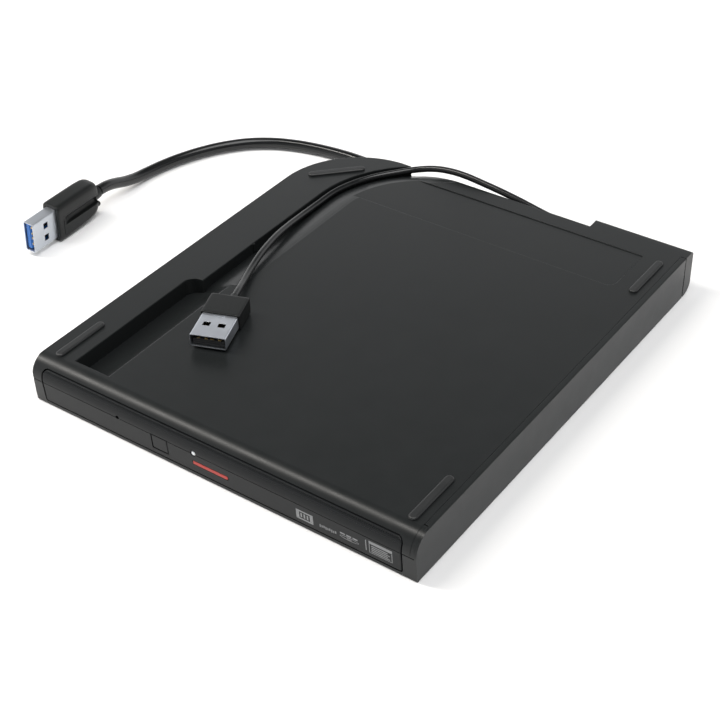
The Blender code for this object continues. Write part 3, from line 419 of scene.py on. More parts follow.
for _a, _z in ((124.5, 15.5), (135.0, 14.7), (145.0, 14.5), (155.0, 14.45), (165.0, 14.45), (174.0, 14.45)):
    AUX_ROUTE.append((GROOVE_C[0] + 40.72 * math.cos(math.radians(_a)), GROOVE_C[1] + 40.72 * math.sin(math.radians(_a)), _z))
AUX_ROUTE += [(-53.3, 40.0, 14.5), (-52.9, 31.0, 15.0), (-51.8, 21.0, 16.0), (-50.2, 12.0, 16.9), (-47.6, 1.5, 17.5),
              (-44.6, -8.0, 17.6), (-41.6, -15.5, 18.1), (-39.1, -21.2, 18.9), (-37.5, -25.3, 19.2)]


def catmull(points, n):
    P = [Vector(p) for p in points]
    P = [2 * P[0] - P[1]] + P + [2 * P[-1] - P[-2]]
    fine = []
    for i in range(1, len(P) - 2):
        a, b, c, d = P[i - 1:i + 3]
        for k in range(24):
            t = k / 24
            fine.append(0.5 * ((2 * b) + (c - a) * t + (2 * a - 5 * b + 4 * c - d) * t * t
                               + (3 * b - a - 3 * c + d) * t ** 3))
    fine.append(P[-2])
    run = [0.0]
    for p, q in zip(fine, fine[1:]):
        run.append(run[-1] + (q - p).length)
    out, j = [], 0
    for k in range(n + 1):
        s = run[-1] * k / n
        while j < len(run) - 2 and run[j + 1] < s:
            j += 1
        f = (s - run[j]) / max(run[j + 1] - run[j], 1e-9)
        out.append(fine[j].lerp(fine[j + 1], min(max(f, 0.0), 1.0)))
    return out, run[-1]


def lead(name, route, dia, n):
    pts, length = catmull(route, n)
    cu = bpy.data.curves.new(name, "CURVE")
    cu.dimensions, cu.twist_mode = "3D", "MINIMUM"
    cu.bevel_depth, cu.bevel_resolution, cu.use_fill_caps = dia / 2 * MM, 8, True
    sp = cu.splines.new("POLY")
    sp.points.add(len(pts) - 1)
    for p, q in zip(sp.points, pts):
        p.co = (q.x * MM, q.y * MM, q.z * MM, 1)
    sp.use_smooth = True
    ob = bpy.data.objects.new(name, cu)
    SCENE.collection.objects.link(ob)
    cu.materials.append(PVC)
    return ob, length * MM


main_cord, MAIN_LEN = lead("main_cord", MAIN_ROUTE, LEAD1_D, 150)
aux_cord, AUX_LEN = lead("aux_cord", AUX_ROUTE, LEAD2_D, 150)
for _o, _n in ((main_cord, "main_lead"), (aux_cord, "aux_lead")):
    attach(_o, "case")
    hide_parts(_n)


# ---- plugs ------------------------------------------------------------------
def place(tail, ang, roll):
    return (Matrix.Translation([c * MM for c in tail]) @ Matrix.Rotation(math.radians(ang), 4, "Z")
            @ Matrix.Rotation(math.radians(roll), 4, "X"))


def squircle(a, b, n, x, k=56, dy=0.0, dz=0.0):
    ring = []
    for i in range(k):
        t = 2 * math.pi * (i + 0.5) / k
        c, s = math.cos(t), math.sin(t)
        ring.append((x, dy + a * math.copysign(abs(c) ** (2 / n), c), dz + b * math.copysign(abs(s) ** (2 / n), s)))
    return ring


def usb_shell(prefix, xf, body_l, tongue_mat, tongue_z, contact_z):
    x0, x1 = body_l - 2.4, body_l + 11.8
    shell = prism(prefix + "_shell", rounded(-6.0, 6.0, -2.25, 2.25, 0.55, 5), x0, x1, "X")
    carve(shell, prism("c", rounded(-5.7, 5.7, -1.95, 1.95, 0.3, 4), x0 + 0.3, x1 + 1, "X"))
    for y in (-2.5, 2.5):
        carve(shell, block("w", (body_l + 4.3, body_l + 6.4), (y - 1.2, y + 1.2), (-4, 4)))
    carve(shell, prism("n", rounded(body_l + 0.75, body_l + 1.25, -1.9, 1.9, 0.24, 4), 2.12, 2.6),
          prism("n", rounded(body_l + 0.75, body_l + 1.25, -1.9, 1.9, 0.24, 4), -2.6, -2.12))
    tidy(shell)
    soften(shell, 0.05, 2)
    shell.data.transform(xf)
    settle(shell, "case", NICKEL, cad=(prefix + "_plug_shell",))
    tongue = block(prefix + "_tongue", (body_l - 1.7, body_l + 11.1), (-5.3, 5.3), tongue_z)
    carve(tongue, block("r", (body_l + 10.7, body_l + 12), (-4.6, 4.6), (contact_z - 0.25, contact_z + 0.25)))
    soften(tongue, 0.15, 3)
    tongue.data.transform(xf)
    settle(tongue, "case", tongue_mat, cad=(prefix + "_plug_tongue",))
    pads = None
    for y in (-3.5, -1.0, 1.0, 3.5):
        up = 0.42 if contact_z > 0 else -0.42
        p = prism("pad", [(body_l + 1.0, contact_z - 0.06), (body_l + 8.0, contact_z - 0.06), (body_l + 9.4, contact_z + up), (body_l + 10.6, contact_z + 0.05),
                          (body_l + 10.6, contact_z + 0.17 * up / 0.42), (body_l + 9.4, contact_z + up * 1.4), (body_l + 8.0, contact_z + 0.06), (body_l + 1.0, contact_z + 0.06)],
                  y - 0.5, y + 0.5, "Y")
        pads = p if pads is None else add(pads, p)
    soften(pads, 0.03, 1)
    pads.name = prefix + "_contacts"
    pads.data.transform(xf)
    settle(pads, "case", GOLD)
    return [shell, tongue, pads]


def turned_x(prof, seg=40):
    """Rings about local X from (x, radius) pairs."""
    return [[(x, r * math.cos(2 * math.pi * k / seg), r * math.sin(2 * math.pi * k / seg)) for k in range(seg)] for x, r in prof]


# main plug: wide overmould with a finger channel down each wide face
XF1 = place((-134.0, 8.3, 7.95), -88.0, 86.0)
rings = []
for x, top_h, low_h, b, n in ((0.0, 5.2, 4.4, 2.7, 3.2), (0.15, 5.9, 5.0, 3.1, 3.6), (0.7, 6.6, 5.6, 3.45, 4.2), (1.7, 7.0, 6.1, 3.7, 5.0),
                              (3.2, 7.25, 6.45, 3.85, 5.6), (6.0, 7.35, 6.85, 3.9, 6.2), (11.0, 7.4, 7.2, 3.9, 6.6), (16.0, 7.4, 7.4, 3.9, 6.8),
                              (19.8, 7.4, 7.4, 3.9, 6.8), (21.2, 7.4, 7.4, 3.9, 6.8), (21.75, 7.34, 7.34, 3.84, 6.8),
                              (21.93, 7.24, 7.24, 3.74, 6.8), (22.0, 7.05, 7.05, 3.55, 6.8)):
    rings.append(squircle((top_h + low_h) / 2, b, n, x, 80, dy=(top_h - low_h) / 2))
body1 = loft("main_plug", rings)
for side in (-1, 1):
    # the channel: a scooped floor under the ridge, with a ramp at its front
    ch = []
    for x, deep in ((-3.0, 1.95), (9.0, 1.95), (15.2, 1.9), (16.6, 1.7), (17.6, 1.25), (18.5, 0.55), (19.2, -0.3)):
        z = 3.92 - deep
        sec = [(2.9, 5.2), (2.35, 3.92), (1.95, 3.6), (1.45, z + 0.5), (0.8, z + 0.05), (0.0, z - 0.03), (-0.8, z + 0.1),
               (-1.35, z + 0.35), (-1.55, 3.5), (-1.7, 3.92), (-1.85, 5.2)]
        ch.append([(x, y, side * zz) for y, zz in (sec if side > 0 else sec[::-1])])
    carve(body1, loft("ch", ch))
    # the collar's edge, and the lower panel, which sits a little inside it
    carve(body1, prism("collar", [(-9.0, side * 3.78), (1.0, side * 3.78), (1.0, side * 5.0), (-9.0, side * 5.0)], 19.4, 19.65, "X"))
    carve(body1, block("panel", (-2.0, 19.5), (-9.0, -1.6), (min(side * 3.72, side * 5), max(side * 3.72, side * 5))))
carve(body1, block("seat", (19.0, 23.0), (-6.08, 6.08), (-2.33, 2.33)))
add(body1, loft("nub", turned_x(((-3.0, 2.25), (-2.9, 2.4), (-0.4, 2.65), (1.0, 2.8)), 32)))
add(body1, loft("nub2", [[(p[0], p[1] - 3.4, p[2] * 1.3 - 1.6) for p in r] for r in turned_x(((-1.5, 0.45), (-1.3, 0.85), (-0.8, 1.1), (1.4, 1.2)), 24)]))
tidy(body1)
round_edges(body1, lambda a, b: 1.0 if min(a.x, b.x) > 0.2 and max(a.x, b.x) < 20.9 and min(abs(a.z), abs(b.z)) > 1.9 else 0.0, 0.14, 2, 30)
body1.data.transform(XF1)
settle(body1, "case", PLUGM, angle=45, cad=("main_plug_body",))
main_parts = [body1] + usb_shell("main", XF1, 22.0, BLUE, (-0.15, 1.65), -0.15)

# auxiliary plug: a plain flat block with a seat for the shell and a round nub at the back
XF2 = place((-36.3, -28.4, 19.2), -70.2, 0.0)
rings = []
for x, a, b, n in ((0.0, 6.3, 2.65, 14.0), (0.08, 6.42, 2.78, 16.0), (0.3, 6.48, 2.87, 18.0), (0.8, 6.5, 2.9, 20.0), (5.0, 6.5, 2.9, 20.0),
                   (9.9, 6.5, 2.9, 20.0), (10.28, 6.48, 2.88, 20.0), (10.4, 6.4, 2.8, 20.0)):
    rings.append(squircle(a, b, n, x, 88))
body2 = loft("aux_plug", rings)
carve(body2, block("seat", (8.0, 11.0), (-6.08, 6.08), (-2.33, 2.33)))
add(body2, loft("nub", turned_x(((-3.0, 1.35), (-2.9, 1.5), (-0.4, 1.75), (0.8, 1.85)), 28)))
tidy(body2)
body2.data.transform(XF2)
settle(body2, "case", PLUGM, angle=40, cad=("aux_plug_body",))
aux_parts = [body2] + usb_shell("aux", XF2, 10.4, GREY_TONGUE, (-1.65, 0.15), 0.15)


def sleeve(name, prof, z):
    xf = Matrix.Translation((35.5 * MM, LEAD_Y * MM, z * MM))
    ob = loft(name, [[(-x, y, zz) for x, y, zz in r] for r in turned_x(prof, 36)], xf=xf)
    return settle(ob, "case", PLUGM, angle=50, cad=(name.replace("_boot", "_sleeve"),))


sleeve("main_boot", ((-3.9, 2.0), (-3.7, 2.25), (1.2, 2.25), (1.25, 2.18), (1.75, 2.18), (1.8, 2.25), (2.6, 2.25), (2.65, 2.17),
                     (3.1, 2.17), (3.15, 2.22), (3.9, 2.2), (4.25, 2.15), (4.3, 2.0)), LEAD1_Z)
sleeve("aux_boot", ((-3.9, 1.4), (-3.7, 1.6), (0.9, 1.6), (0.95, 1.53), (1.35, 1.53), (1.4, 1.6), (2.4, 1.5), (3.6, 1.33), (3.8, 1.22)), LEAD2_Z)

# ============================================================================
# covers
# ============================================================================
W, D, H = 145.0, 168.0, 16.0
HX, HY = W / 2, D / 2
WALL, SEAM, EDGE_R, SKIN = 1.6, 8.9, 6.5, 14.5
BAY_Y, BAY_X, CORNER_R = 78.8, 35.8, 31.0
CORNER_C = (-HX + CORNER_R, BAY_Y - CORNER_R)
POCKET_X0, POCKET_X1, POCKET_Y0, POCKET_Y1, POCKET_Z = -60.0, -46.0, -76.3, -20.6, 10.0
BX0, BX1, BZ0, BZ1, GAP = -68.2, 67.4, 1.6, 13.6, 0.3


def pocket_floor(x):
    return POCKET_Z + (H - POCKET_Z) * (max(x - POCKET_X0, 0.0) / (POCKET_X1 - POCKET_X0)) ** 1.8


def groove_floor(u):
    law = ((0.0, 11.8), (1.2, 12.3), (2.8, 13.15), (4.2, 13.85), (5.9, 14.55), (7.6, 15.1), (9.4, 15.55),
           (11.2, 15.83), (12.4, 15.93), (13.1, 16.05), (13.6, 16.4))
    for (u0, z0), (u1, z1) in zip(law, law[1:]):
        if u <= u1 + 1e-6:
            return z0 + (z1 - z0) * (u - u0) / (u1 - u0)
    return law[-1][1]


def recess(name, off, fine):
    steps = [i / fine for i in range(fine + 1)]
    inner, reach, r = POCKET_X1 + 0.3, 13.6 + off, 3.8 + off
    cx, cy = POCKET_X0 + 3.8, POCKET_Y1 - 3.8
    st = [((POCKET_X0 - off, POCKET_Y0 - off), (1.0, 0.0), 0.0)]
    n = 12 if fine > 10 else 4
    for k in range(n + 1):
        a = math.radians(180 - 84 * k / n)
        st.append(((cx + r * math.cos(a), cy + r * math.sin(a)), (1.0, 0.0), 0.0))
    for y in (POCKET_Y1 + off + 0.12, -18.9, -18.2, -17.4, -16.6, -15.6, 10.0) if off == 0 else (POCKET_Y1 + off + 0.12, -18.6, -17.2, -15.6, 10.0):
        b = min(max((y - POCKET_Y1) / 5.0, 0.0), 1.0)
        st.append(((GROOVE_X - off, y), (1.0, 0.0), b * b * (3 - 2 * b)))
    n = 22 if fine > 10 else 7
    for k in range(n + 1):
        a = math.radians(180 - 52 * k / n)
        c, s = math.cos(a), math.sin(a)
        st.append(((GROOVE_C[0] + (GROOVE_R + off) * c, GROOVE_C[1] + (GROOVE_R + off) * s), (-c, -s), 1.0))
    (px, py), (nx, ny), _ = st[-1]
    st.append(((px - 17 * ny, py + 17 * nx), (nx, ny), 1.0))
    bm = bmesh.new()
    rings = []
    for (px, py), (nx, ny), bl in st:
        width = (inner - px if nx == 1.0 else 0.0) * (1 - bl) + reach * bl
        ring = []
        for f in steps:
            x, y, u = px + nx * f * width, py + ny * f * width, f * width - off
            z = (pocket_floor(x) if nx == 1.0 and bl < 1 else 0.0) * (1 - bl) + groove_floor(max(u, 0.0)) * bl
            ring.append((x, y, z - off))
        ring.append((ring[-1][0], ring[-1][1], 19.0))
        ring.append((px, py, 19.0))
        rings.append([bm.verts.new([c * MM for c in p]) for p in ring])
    n = len(rings[0])
    for a, b in zip(rings, rings[1:]):
        for i in range(n):
            bm.faces.new((a[i], a[(i + 1) % n], b[(i + 1) % n], b[i]))
    bm.faces.new(rings[0][::-1])
    bm.faces.new(rings[-1])
    bmesh.ops.triangulate(bm, faces=bm.faces)
    return put(name, bm)


FRONT = arc(-HY + EDGE_R, H - EDGE_R, EDGE_R, 180, 90, 20)


def mouth():
    pts = (arc(BX0 - GAP + 2.2, BZ1 + GAP - 2.2, 2.2, 180, 90, 8) + arc(BX1 + GAP - 2.2, BZ1 + GAP - 2.2, 2.2, 90, 0, 8)
           + arc(BX1 + GAP - 0.9, BZ0 - GAP + 0.9, 0.9, 0, -90, 5) + arc(BX0 - GAP + 0.9, BZ0 - GAP + 0.9, 0.9, -90, -180, 5))
    return prism("mouth", pts, -HY - 3, -HY + 5.5, "Y")


under = prism("underside_cover", [(-HY, SEAM + 0.15)] + FRONT + [(90.0, H), (90.0, SEAM + 0.15)], -HX, HX, "X")
plan = [(-HX + 0.35, -HY), (HX - 0.35, -HY), (HX, -HY + 0.35), (HX, 81.0), (BAY_X, 81.0), (BAY_X, BAY_Y)]
plan += arc(CORNER_C[0], CORNER_C[1], CORNER_R, 90, 180, 40) + [(-HX, -HY + 0.35)]
carve(under, prism("plan", plan, -5, 25), op="INTERSECT")
add(under, prism("rear", [(BAY_Y, 0.3)] + arc(HY - 4, 4.3, 4.0, -90, 0, 12) + arc(HY - 1.2, H - 1.2, 1.2, 0, 90, 6) + [(BAY_Y, H)], BAY_X, HX, "X"))
cav = prism("cav", [(-HX + WALL, -79.5), (HX - WALL, -79.5), (HX - WALL, BAY_Y + 0.6), (BAY_X + WALL, BAY_Y + 0.6), (BAY_X + WALL, BAY_Y - WALL)]
            + arc(CORNER_C[0], CORNER_C[1], CORNER_R - WALL, 90, 180, 24), -2.0, SKIN)
carve(cav, recess("bump", 1.2, 7))
carve(under, cav,
      block("c2", (BAY_X + WALL, HX - WALL), (BAY_Y - 1.0, HY - WALL), (1.9, SKIN)),
      block("c3", (HX - 2.04, HX + 5), (-HY + 6.8, BAY_Y - 0.15), (-2, 20)),
      block("c4", (HX - 0.84, HX + 5), (-HY - 5, -HY + 7.0), (-2, 20)),
      mouth(), recess("cutr", 0.0, 22))
label = arc(-20.3, 48.2, 27.2, 118.5, 174.9, 16) + arc(56.6, 53.6, 3.0, -90, 0, 8) + [(59.6, 72.1)]
carve(under, prism("label", label, H - 0.35, H + 2))
for _r2, _z in ((2.4, LEAD1_Z), (1.8, LEAD2_Z)):
    carve(under, loft("hole", [[(x, LEAD_Y + y, _z + z) for x, y, z in r] for r in turned_x(((BAY_X - 2, _r2), (BAY_X + 4, _r2)), 28)]))
line = [(y - 0.4 * math.cos(math.radians(t)), z + 0.4 * math.sin(math.radians(t))) for (y, z), t in
        zip(FRONT, [90 / 20 * i for i in range(21)])]
inner_line = [(-HY + EDGE_R - (EDGE_R - 0.13) * math.cos(math.radians(t)), H - EDGE_R + (EDGE_R - 0.13) * math.sin(math.radians(t)))
              for t in [90 / 20 * i for i in range(21)]]
carve(under, prism("end_line", line + [(-HY + 7.3, H + 0.4), (-HY + 7.3, H - 0.13)] + inner_line[::-1], HX - 2.2, HX - 2.08, "X"))
tidy(under)


def cover_rule(a, b):
    z0, z1 = min(a.z, b.z), max(a.z, b.z)
    mid = (a + b) / 2
    if z0 > H - 0.04:                                   # rims on the underside
        near_label = 50.0 < mid.y < 72.6 and mid.x > -47.6 and mid.x < 60.0
        if near_label:
            return 0.62
        if mid.x > HX - 2.4:
            return 0.0
        return 0.75
    if mid.x < -HX + 0.05 and z0 > SEAM:                # left flank
        return 0.4
    if z1 < SEAM + 0.2 and z0 > SEAM:                   # parting edge, outer side only
        outer = mid.y < -HY + 0.1 or mid.x < -HX + 0.1
        return 0.3 if outer else 0.0
    if mid.y < -HY + 3.2 and mid.z > SEAM + 0.2 and BX0 - 1 < mid.x < BX1 + 1 and mid.z < 14.2:
        return 0.35
    return 0.0


round_edges(under, cover_rule, 0.4, 3)
settle(under, "case", CASE, cad=("bottom_cover",))

rib = prism("groove_rib", rounded(6.1, 7.1, 12.2, 15.75, 0.3, 4), GROOVE_X - 0.1, GROOVE_X + 0.35, "X")
soften(rib, 0.12)
settle(rib, "case", CASE)

lower = [(-HY + 1.1, 0.0)] + arc(-HY + 1.1, 0.62, 0.6, 268, 200, 6) + [(-HY, SEAM - 0.15), (90.0, SEAM - 0.15), (90.0, 0.0)]
top = prism("top_shell", lower, -HX, HX, "X")
flange = [(-HX + 0.35, -HY), (HX - 0.35, -HY), (HX, -HY + 0.35), (HX, BAY_Y - 0.3), (BAY_X - 0.3, BAY_Y - 0.3), (BAY_X - 0.3, HY)]
flange += arc(CORNER_C[0], CORNER_C[1], CORNER_R + 5.2, 90, 144.0, 30)
flange += [(-HX, CORNER_C[1] + 18.2), (-HX, -HY + 0.35)]
flange = [p for p in flange if p[0] >= -HX - 1e-6]
carve(top, prism("fp", flange, -5, 25), op="INTERSECT")
carve(top, prism("shave", [(-HX - 4, CORNER_C[1] - 0.01), (-HX - 4, HY + 4), (BAY_X + 4, HY + 4), (BAY_X + 4, BAY_Y)]
                 + arc(CORNER_C[0], CORNER_C[1], CORNER_R, 90, 180, 40), 1.5, 20),
      prism("well", [(-HX + WALL, -79.5), (HX - 2.0, -79.5), (HX - 2.0, 90.0), (BAY_X + WALL - 0.2, 90.0), (BAY_X + WALL - 0.2, BAY_Y - WALL)]
            + arc(CORNER_C[0], CORNER_C[1], CORNER_R - WALL, 90, 180, 24), 1.5, 20),
      mouth())
side = [(-HY + 0.9, 0.2), (-HY + 0.5, 0.55), (-HY, SEAM - 0.15)] + FRONT + [(BAY_Y - 0.3, H), (BAY_Y - 0.3, 0.2)]
add(top, prism("skin", side, HX - 0.8, HX, "X"), block("sw", (HX - 2.0, HX - 0.4), (-HY + 7.2, BAY_Y - 0.3), (0.2, H)))
tidy(top)


def top_rule(a, b):
    z0, z1 = min(a.z, b.z), max(a.z, b.z)
    mid = (a + b) / 2
    if mid.x > HX - 0.1 and z1 > H - 0.05:
        return 0.8
    if z0 > H - 0.05:
        return 0.3
    if z1 < 0.1:
        return 0.6
    if abs(z0 - (SEAM - 0.15)) < 0.05 and z1 - z0 < 0.05 and (mid.y < -HY + 0.2 or mid.x < -HX + 0.2):
        return 0.3
    if mid.y < -HY + 1.2 and BX0 - 1 < mid.x < BX1 + 1 and mid.z < SEAM:
        return 0.35
    return 0.0


round_edges(top, top_rule, 0.4, 3)
settle(top, "case", CASE, cad=("top_cover",))

# ---- feet -------------------------------------------------------------------
for nm, (fx, fy, fa) in {"foot_front_left": (-66.3, -67.5, 90.0), "foot_front_right": (66.4, -67.3, 90.0),
                         "foot_rear_right": (66.4, 61.2, 90.0), "foot_rear_left": (-59.0, 60.3, 45.0)}.items():
    rings = []
    for grow, z in ((0.0, -0.28), (0.0, 0.0), (-0.03, 0.18), (-0.12, 0.34), (-0.26, 0.47), (-0.45, 0.56), (-0.75, 0.60)):
        r, half = 1.45 + grow, 10.5 - 1.45
        ring = [(half + p[0], p[1], z) for p in arc(0, 0, r, -90, 90, 14)] + [(-half + p[0], p[1], z) for p in arc(0, 0, r, 90, 270, 14)]
        rings.append(ring)
    xf = Matrix.Translation((fx * MM, fy * MM, (H + 0.3) * MM)) @ Matrix.Rotation(math.radians(fa), 4, "Z")
    settle(loft(nm + "_pad", rings, xf=xf), "case", FOOT, angle=60, cad=(nm,))

# ============================================================================
# tray front
# ============================================================================
front = [(-HY + 0.42, BZ0)] + [(-HY, SEAM)] + [p for p in FRONT if p[1] < 14.4]
front += [(-80.6, front[-1][1]), (-80.6, BZ0)]
bez = prism("tray_front", front, BX0, BX1, "X")
_g = 0.1
cn = (arc(BX0 + 1.9 + _g, BZ1 - 1.9 - _g, 1.9, 180, 90, 8) + arc(BX1 - 1.9 - _g, BZ1 - 1.9 - _g, 1.9, 90, 0, 8)
      + arc(BX1 - 0.6 - _g, BZ0 + 0.6 + _g, 0.6, 0, -90, 4) + arc(BX0 + 0.6 + _g, BZ0 + 0.6 + _g, 0.6, -90, -180, 4))
carve(bez, prism("cn", cn, -90, -75, "Y"), op="INTERSECT")
vee = prism("vee", [(-HY - 0.5, SEAM - 0.35), (-HY + 0.34, SEAM - 0.02), (-HY + 0.34, SEAM + 0.02), (-HY - 0.5, SEAM + 0.35)], -80, 80, "X")
BTN_X, BTN_Z = (-23.4, -16.9), (3.4, 9.2)
carve(bez, vee, block("bh", BTN_X, (-90, -75), BTN_Z),
      loft("ph", [[(-36.7 + r[1], r[0], 9.1 + r[2]) for r in ring] for ring in turned_x(((-90, 0.65), (-76, 0.65)), 24)]),
      loft("lh", [[(-6.6 + r[1], r[0], 9.1 + r[2]) for r in ring] for ring in turned_x(((-90, 1.0), (-76, 1.0)), 28)]),
      prism("slot", rounded(-7.3, 6.3, 4.65, 6.2, 0.35, 5), -HY - 1, -HY + 0.75, "Y"))
tidy(bez)


def bez_rule(a, b):
    mid = (a + b) / 2
    if mid.y > -81.2:
        return 0.0
    if abs(mid.z - SEAM) < 0.4 and abs(a.z - b.z) < 0.1 and abs(a.x - b.x) > 2:
        return 0.0
    edge = mid.x < BX0 + 2 or mid.x > BX1 - 2 or mid.z > BZ1 - 0.05 or mid.z < BZ0 + 0.65
    if edge:
        return 1.0
    return 0.35


round_edges(bez, bez_rule, 0.25, 3)
settle(bez, "tray", BEZEL, cad=("tray_bezel",))

but = prism("eject_cap", [(-HY + 0.36, BTN_Z[0] + 0.3), (-HY + 0.02, BTN_Z[1] - 0.3), (-81.0, BTN_Z[1] - 0.3), (-81.0, BTN_Z[0] + 0.3)],
            BTN_X[0] + 0.3, BTN_X[1] - 0.3, "X")
add(but, block("st", (-21.4, -18.9), (-81.6, -78.3), (5.6, 7.4)))
round_edges(but, lambda a, b: 1.0 if max(a.y, b.y) < -80.9 else 0.0, 0.22, 3)
settle(but, "eject_button", BEZEL, cad=("eject_button",))

acc = prism("accent_bar", rounded(-7.1, 6.1, 4.85, 6.05, 0.3, 5), -HY + 0.16, -HY + 0.45, "Y")
round_edges(acc, lambda a, b: 1.0 if max(a.y, b.y) < -HY + 0.2 else 0.0, 0.1, 3)
settle(acc, "tray", RED, cad=("accent_strip",))
pipe = loft("status_light", [[(-6.6 + r[1], r[0], 9.1 + r[2]) for r in ring] for ring in
                             turned_x(((-83.98, 0.3), (-83.92, 0.55), (-83.78, 0.74), (-83.55, 0.84), (-82.0, 0.85), (-79.8, 0.85)), 32)])
settle(pipe, "tray", GUIDE, cad=("light_guide",))


def face_y(z):
    """Front face of the tray below the crease."""
    return -HY + 0.42 * (SEAM - z) / (SEAM - BZ0)


def printed(name, shapes):
    """Thin ink shapes on the tray front; each is an outline in (x, z)."""
    bm = bmesh.new()
    for outer in shapes:
        lo = [bm.verts.new((x * MM, (face_y(z) - 0.016) * MM, z * MM)) for x, z in outer]
        hi = [bm.verts.new((x * MM, (face_y(z) + 0.02) * MM, z * MM)) for x, z in outer]
        n = len(outer)
        bm.faces.new(lo)
        bm.faces.new(hi[::-1])
        for i in range(n):
            bm.faces.new((lo[i], hi[i], hi[(i + 1) % n], lo[(i + 1) % n]))
    ob = put(name, bm)
    for p in ob.data.polygons:
        p.use_smooth = False
    ob.data.materials.append(INK)
    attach(ob, "tray")
    return ob


def bar(x0, x1, z0, z1):
    return [(x0, z0), (x1, z0), (x1, z1), (x0, z1)]


def band(cx, cz, rx, rz, w, a0=0, a1=360, n=28):
    """Pieces of an elliptical ring."""
    out = []
    for i in range(n):
        p, q = math.radians(a0 + (a1 - a0) * i / n), math.radians(a0 + (a1 - a0) * (i + 1) / n)
        out.append([(cx + rx * math.cos(p), cz + rz * math.sin(p)), (cx + rx * math.cos(q), cz + rz * math.sin(q)),
                    (cx + (rx - w) * math.cos(q), cz + (rz - w) * math.sin(q)), (cx + (rx - w) * math.cos(p), cz + (rz - w) * math.sin(p))])
    return out


# generic signs: a frame holding three upright bars, a row of ticks,
# an elliptical ring round a smaller one under three short bars, and a framed tile of lines
marks = [bar(31.2, 37.2, 6.35, 6.9), bar(31.2, 37.2, 3.3, 3.85), bar(31.2, 32.3, 3.9, 6.3), bar(36.1, 37.2, 3.9, 6.3)]
for i in range(3):
    marks.append(bar(32.75 + 1.12 * i, 33.3 + 1.12 * i, 4.25, 5.95))
for i in range(9):
    x = 39.5 + 0.68 * i
    marks.append(bar(x, x + 0.36, 4.0 + 0.12 * (i % 3), 5.2 - 0.1 * ((i + 1) % 3)))
marks += band(49.8, 4.55, 3.3, 0.62, 0.2) + band(49.8, 4.55, 0.8, 0.3, 0.14, n=14)
for i in range(3):
    marks.append(bar(46.7 + 2.15 * i, 48.4 + 2.15 * i, 5.45, 6.0))
x0, x1, z0, z1 = 56.6, 64.4, 3.3, 8.0
marks += [bar(x0, x1, z1 - 1.1, z1), bar(x0, x0 + 0.22, z0, z1 - 1.25), bar(x1 - 0.22, x1, z0, z1 - 1.25), bar(x0 + 0.3, x1 - 0.3, z0, z0 + 0.2)]
for i in range(4):
    z = z0 + 0.55 + 0.72 * i
    marks.append(bar(x0 + 0.75, x1 - 0.8 - 0.7 * (i % 2), z, z + 0.36))
marks.append(bar(55.4, 55.7, 3.6, 7.7))
printed("front_signs", marks)

# ============================================================================
# mechanism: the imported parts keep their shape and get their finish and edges
# ============================================================================
def dress(node, mat, width=0.1, seg=2, angle=32):
    ob = NODES[node]
    ob.data.materials.clear()
    ob.data.materials.append(mat)
    for p in ob.data.polygons:
        p.use_smooth = True
    if ob.data.has_custom_normals:
        ob.data.attributes.remove(ob.data.attributes["custom_normal"]) if "custom_normal" in ob.data.attributes else None
    w = ob.modifiers.new("weld", "WELD")
    w.merge_threshold = 0.000004
    if width:
        m = ob.modifiers.new("edge", "BEVEL")
        m.width, m.segments, m.limit_method, m.angle_limit = width * MM, seg, "ANGLE", math.radians(angle)
        m.use_clamp_overlap = True
    n = ob.modifiers.new("normals", "WEIGHTED_NORMAL")
    n.keep_sharp = True


FINISH = {
    STEEL: ("traverse_chassis", "drive_shell_top", "drive_shell_bottom", "rail_guide_left", "rail_guide_right", "latch_solenoid",
            "latch_hook", "spindle_motor", "stepper_motor", "pickup_sled"),
    RAILM: ("middle_rail_left", "middle_rail_right", "crystal_can", "bulk_capacitor"),
    SHAFT: ("guide_rod_main", "guide_rod_aux", "lead_screw", "latch_post"),
    DARK: ("disc_tray", "spindle_hub", "hub_pawl_1", "hub_pawl_2", "hub_pawl_3", "lens_holder", "drive_connector", "board_plug", "eject_switch"),
    CHIP: ("controller_chip", "driver_chip", "memory_chip", "bridge_chip"),
    BOARD: ("tray_board", "bridge_board"),
    RUBBER: ("damper_1", "damper_2", "damper_3"),
    FILM: ("flex_cable",),
    OPTIC: ("objective_lens",),
}
for _m, _ns in FINISH.items():
    for _n in _ns:
        dress(_n, _m, 0.0 if _n in ("flex_cable", "objective_lens", "damper_1", "damper_2", "damper_3") else 0.08)

# ============================================================================
# floor and light
# ============================================================================
bm = bmesh.new()
bmesh.ops.create_grid(bm, x_segments=1, y_segments=1, size=4.0)
floor = put("floor", bm)
floor.location.z = -0.0001
g = Graph("floor_paper")
g.set("Base Color", g.blend(g.span(g.noise(400.0), 0.0, 1.0), (0.90, 0.90, 0.90), (0.92, 0.92, 0.92)))
g.set("Roughness", 0.9)
g.set("Specular IOR Level", 0.1)
floor.data.materials.append(g.m)

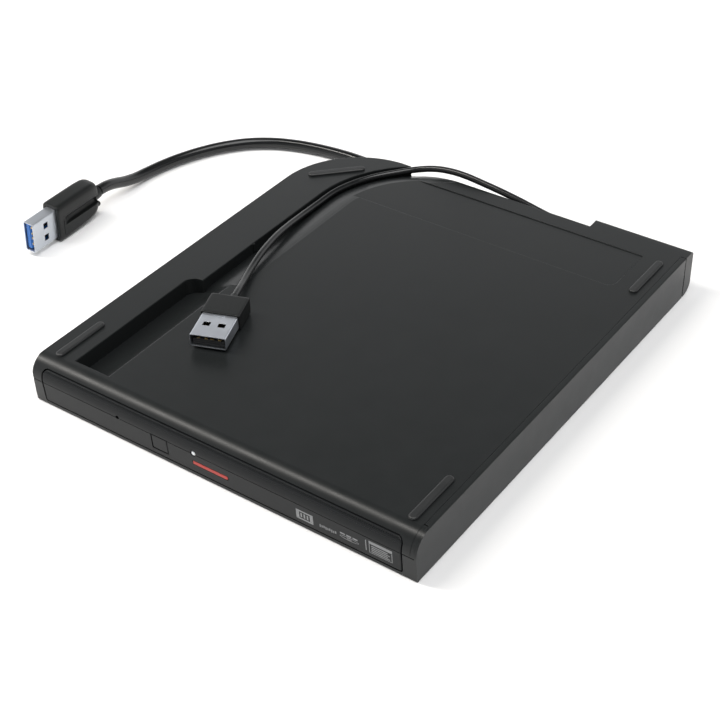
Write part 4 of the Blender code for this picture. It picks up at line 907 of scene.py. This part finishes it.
world = bpy.data.worlds.new("studio")
SCENE.world = world
world.use_nodes = True
wt = world.node_tree
bg = next(n for n in wt.nodes if n.type == "BACKGROUND")
tc = wt.nodes.new("ShaderNodeTexCoord")
sep = wt.nodes.new("ShaderNodeSeparateXYZ")
ramp = wt.nodes.new("ShaderNodeValToRGB")
wt.links.new(tc.outputs["Generated"], sep.inputs[0])
wt.links.new(sep.outputs["Z"], ramp.inputs[0])
wt.links.new(ramp.outputs[0], bg.inputs[0])
stops = ((0.0, 1.0), (0.12, 1.1), (0.3, 1.25), (0.43, 1.15), (0.53, 0.72), (0.62, 0.28), (0.72, 0.08), (1.0, 0.02))
ramp.color_ramp.elements[0].position, ramp.color_ramp.elements[1].position = stops[0][0], stops[-1][0]
for _pos, _v in stops[1:-1]:
    ramp.color_ramp.elements.new(_pos)
for _el, (_pos, _v) in zip(ramp.color_ramp.elements, stops):
    _el.position, _el.color = _pos, (_v, _v, _v * 1.01, 1)
# the front right of the studio is dimmer than the back
side = wt.nodes.new("ShaderNodeVectorMath")
side.operation = "DOT_PRODUCT"
side.inputs[1].default_value = (0.7, -0.7, 0.0)
dim = wt.nodes.new("ShaderNodeMapRange")
dim.inputs["From Min"].default_value, dim.inputs["From Max"].default_value = -0.2, 0.9
dim.inputs["To Min"].default_value, dim.inputs["To Max"].default_value = 1.0, 0.25
wt.links.new(tc.outputs["Generated"], side.inputs[0])
wt.links.new(side.outputs["Value"], dim.inputs["Value"])
wt.links.new(dim.outputs["Result"], bg.inputs[1])


def softbox(name, at, aim, size, power, tint=(1, 1, 1)):
    ld = bpy.data.lights.new(name, "AREA")
    ld.shape, ld.size, ld.size_y = "RECTANGLE", size[0], size[1]
    ld.energy, ld.color = power, tint
    ob = bpy.data.objects.new(name, ld)
    SCENE.collection.objects.link(ob)
    ob.location = at
    ob.rotation_mode = "QUATERNION"
    ob.rotation_quaternion = (Vector(aim) - Vector(at)).to_track_quat("-Z", "Y")
    return ob


key = bpy.data.lights.new("key", "SUN")
key.energy, key.angle = 2.2, math.radians(45.0)
key_ob = bpy.data.objects.new("key", key)
SCENE.collection.objects.link(key_ob)
key_ob.rotation_mode = "QUATERNION"
key_ob.rotation_quaternion = Vector((-0.35, 0.15, -1.25)).to_track_quat("-Z", "Y")
softbox("strip", (-0.6, -0.27, 0.85), (0, -0.08, 0), (0.13, 0.9), 8.0, (1.0, 0.965, 0.92))
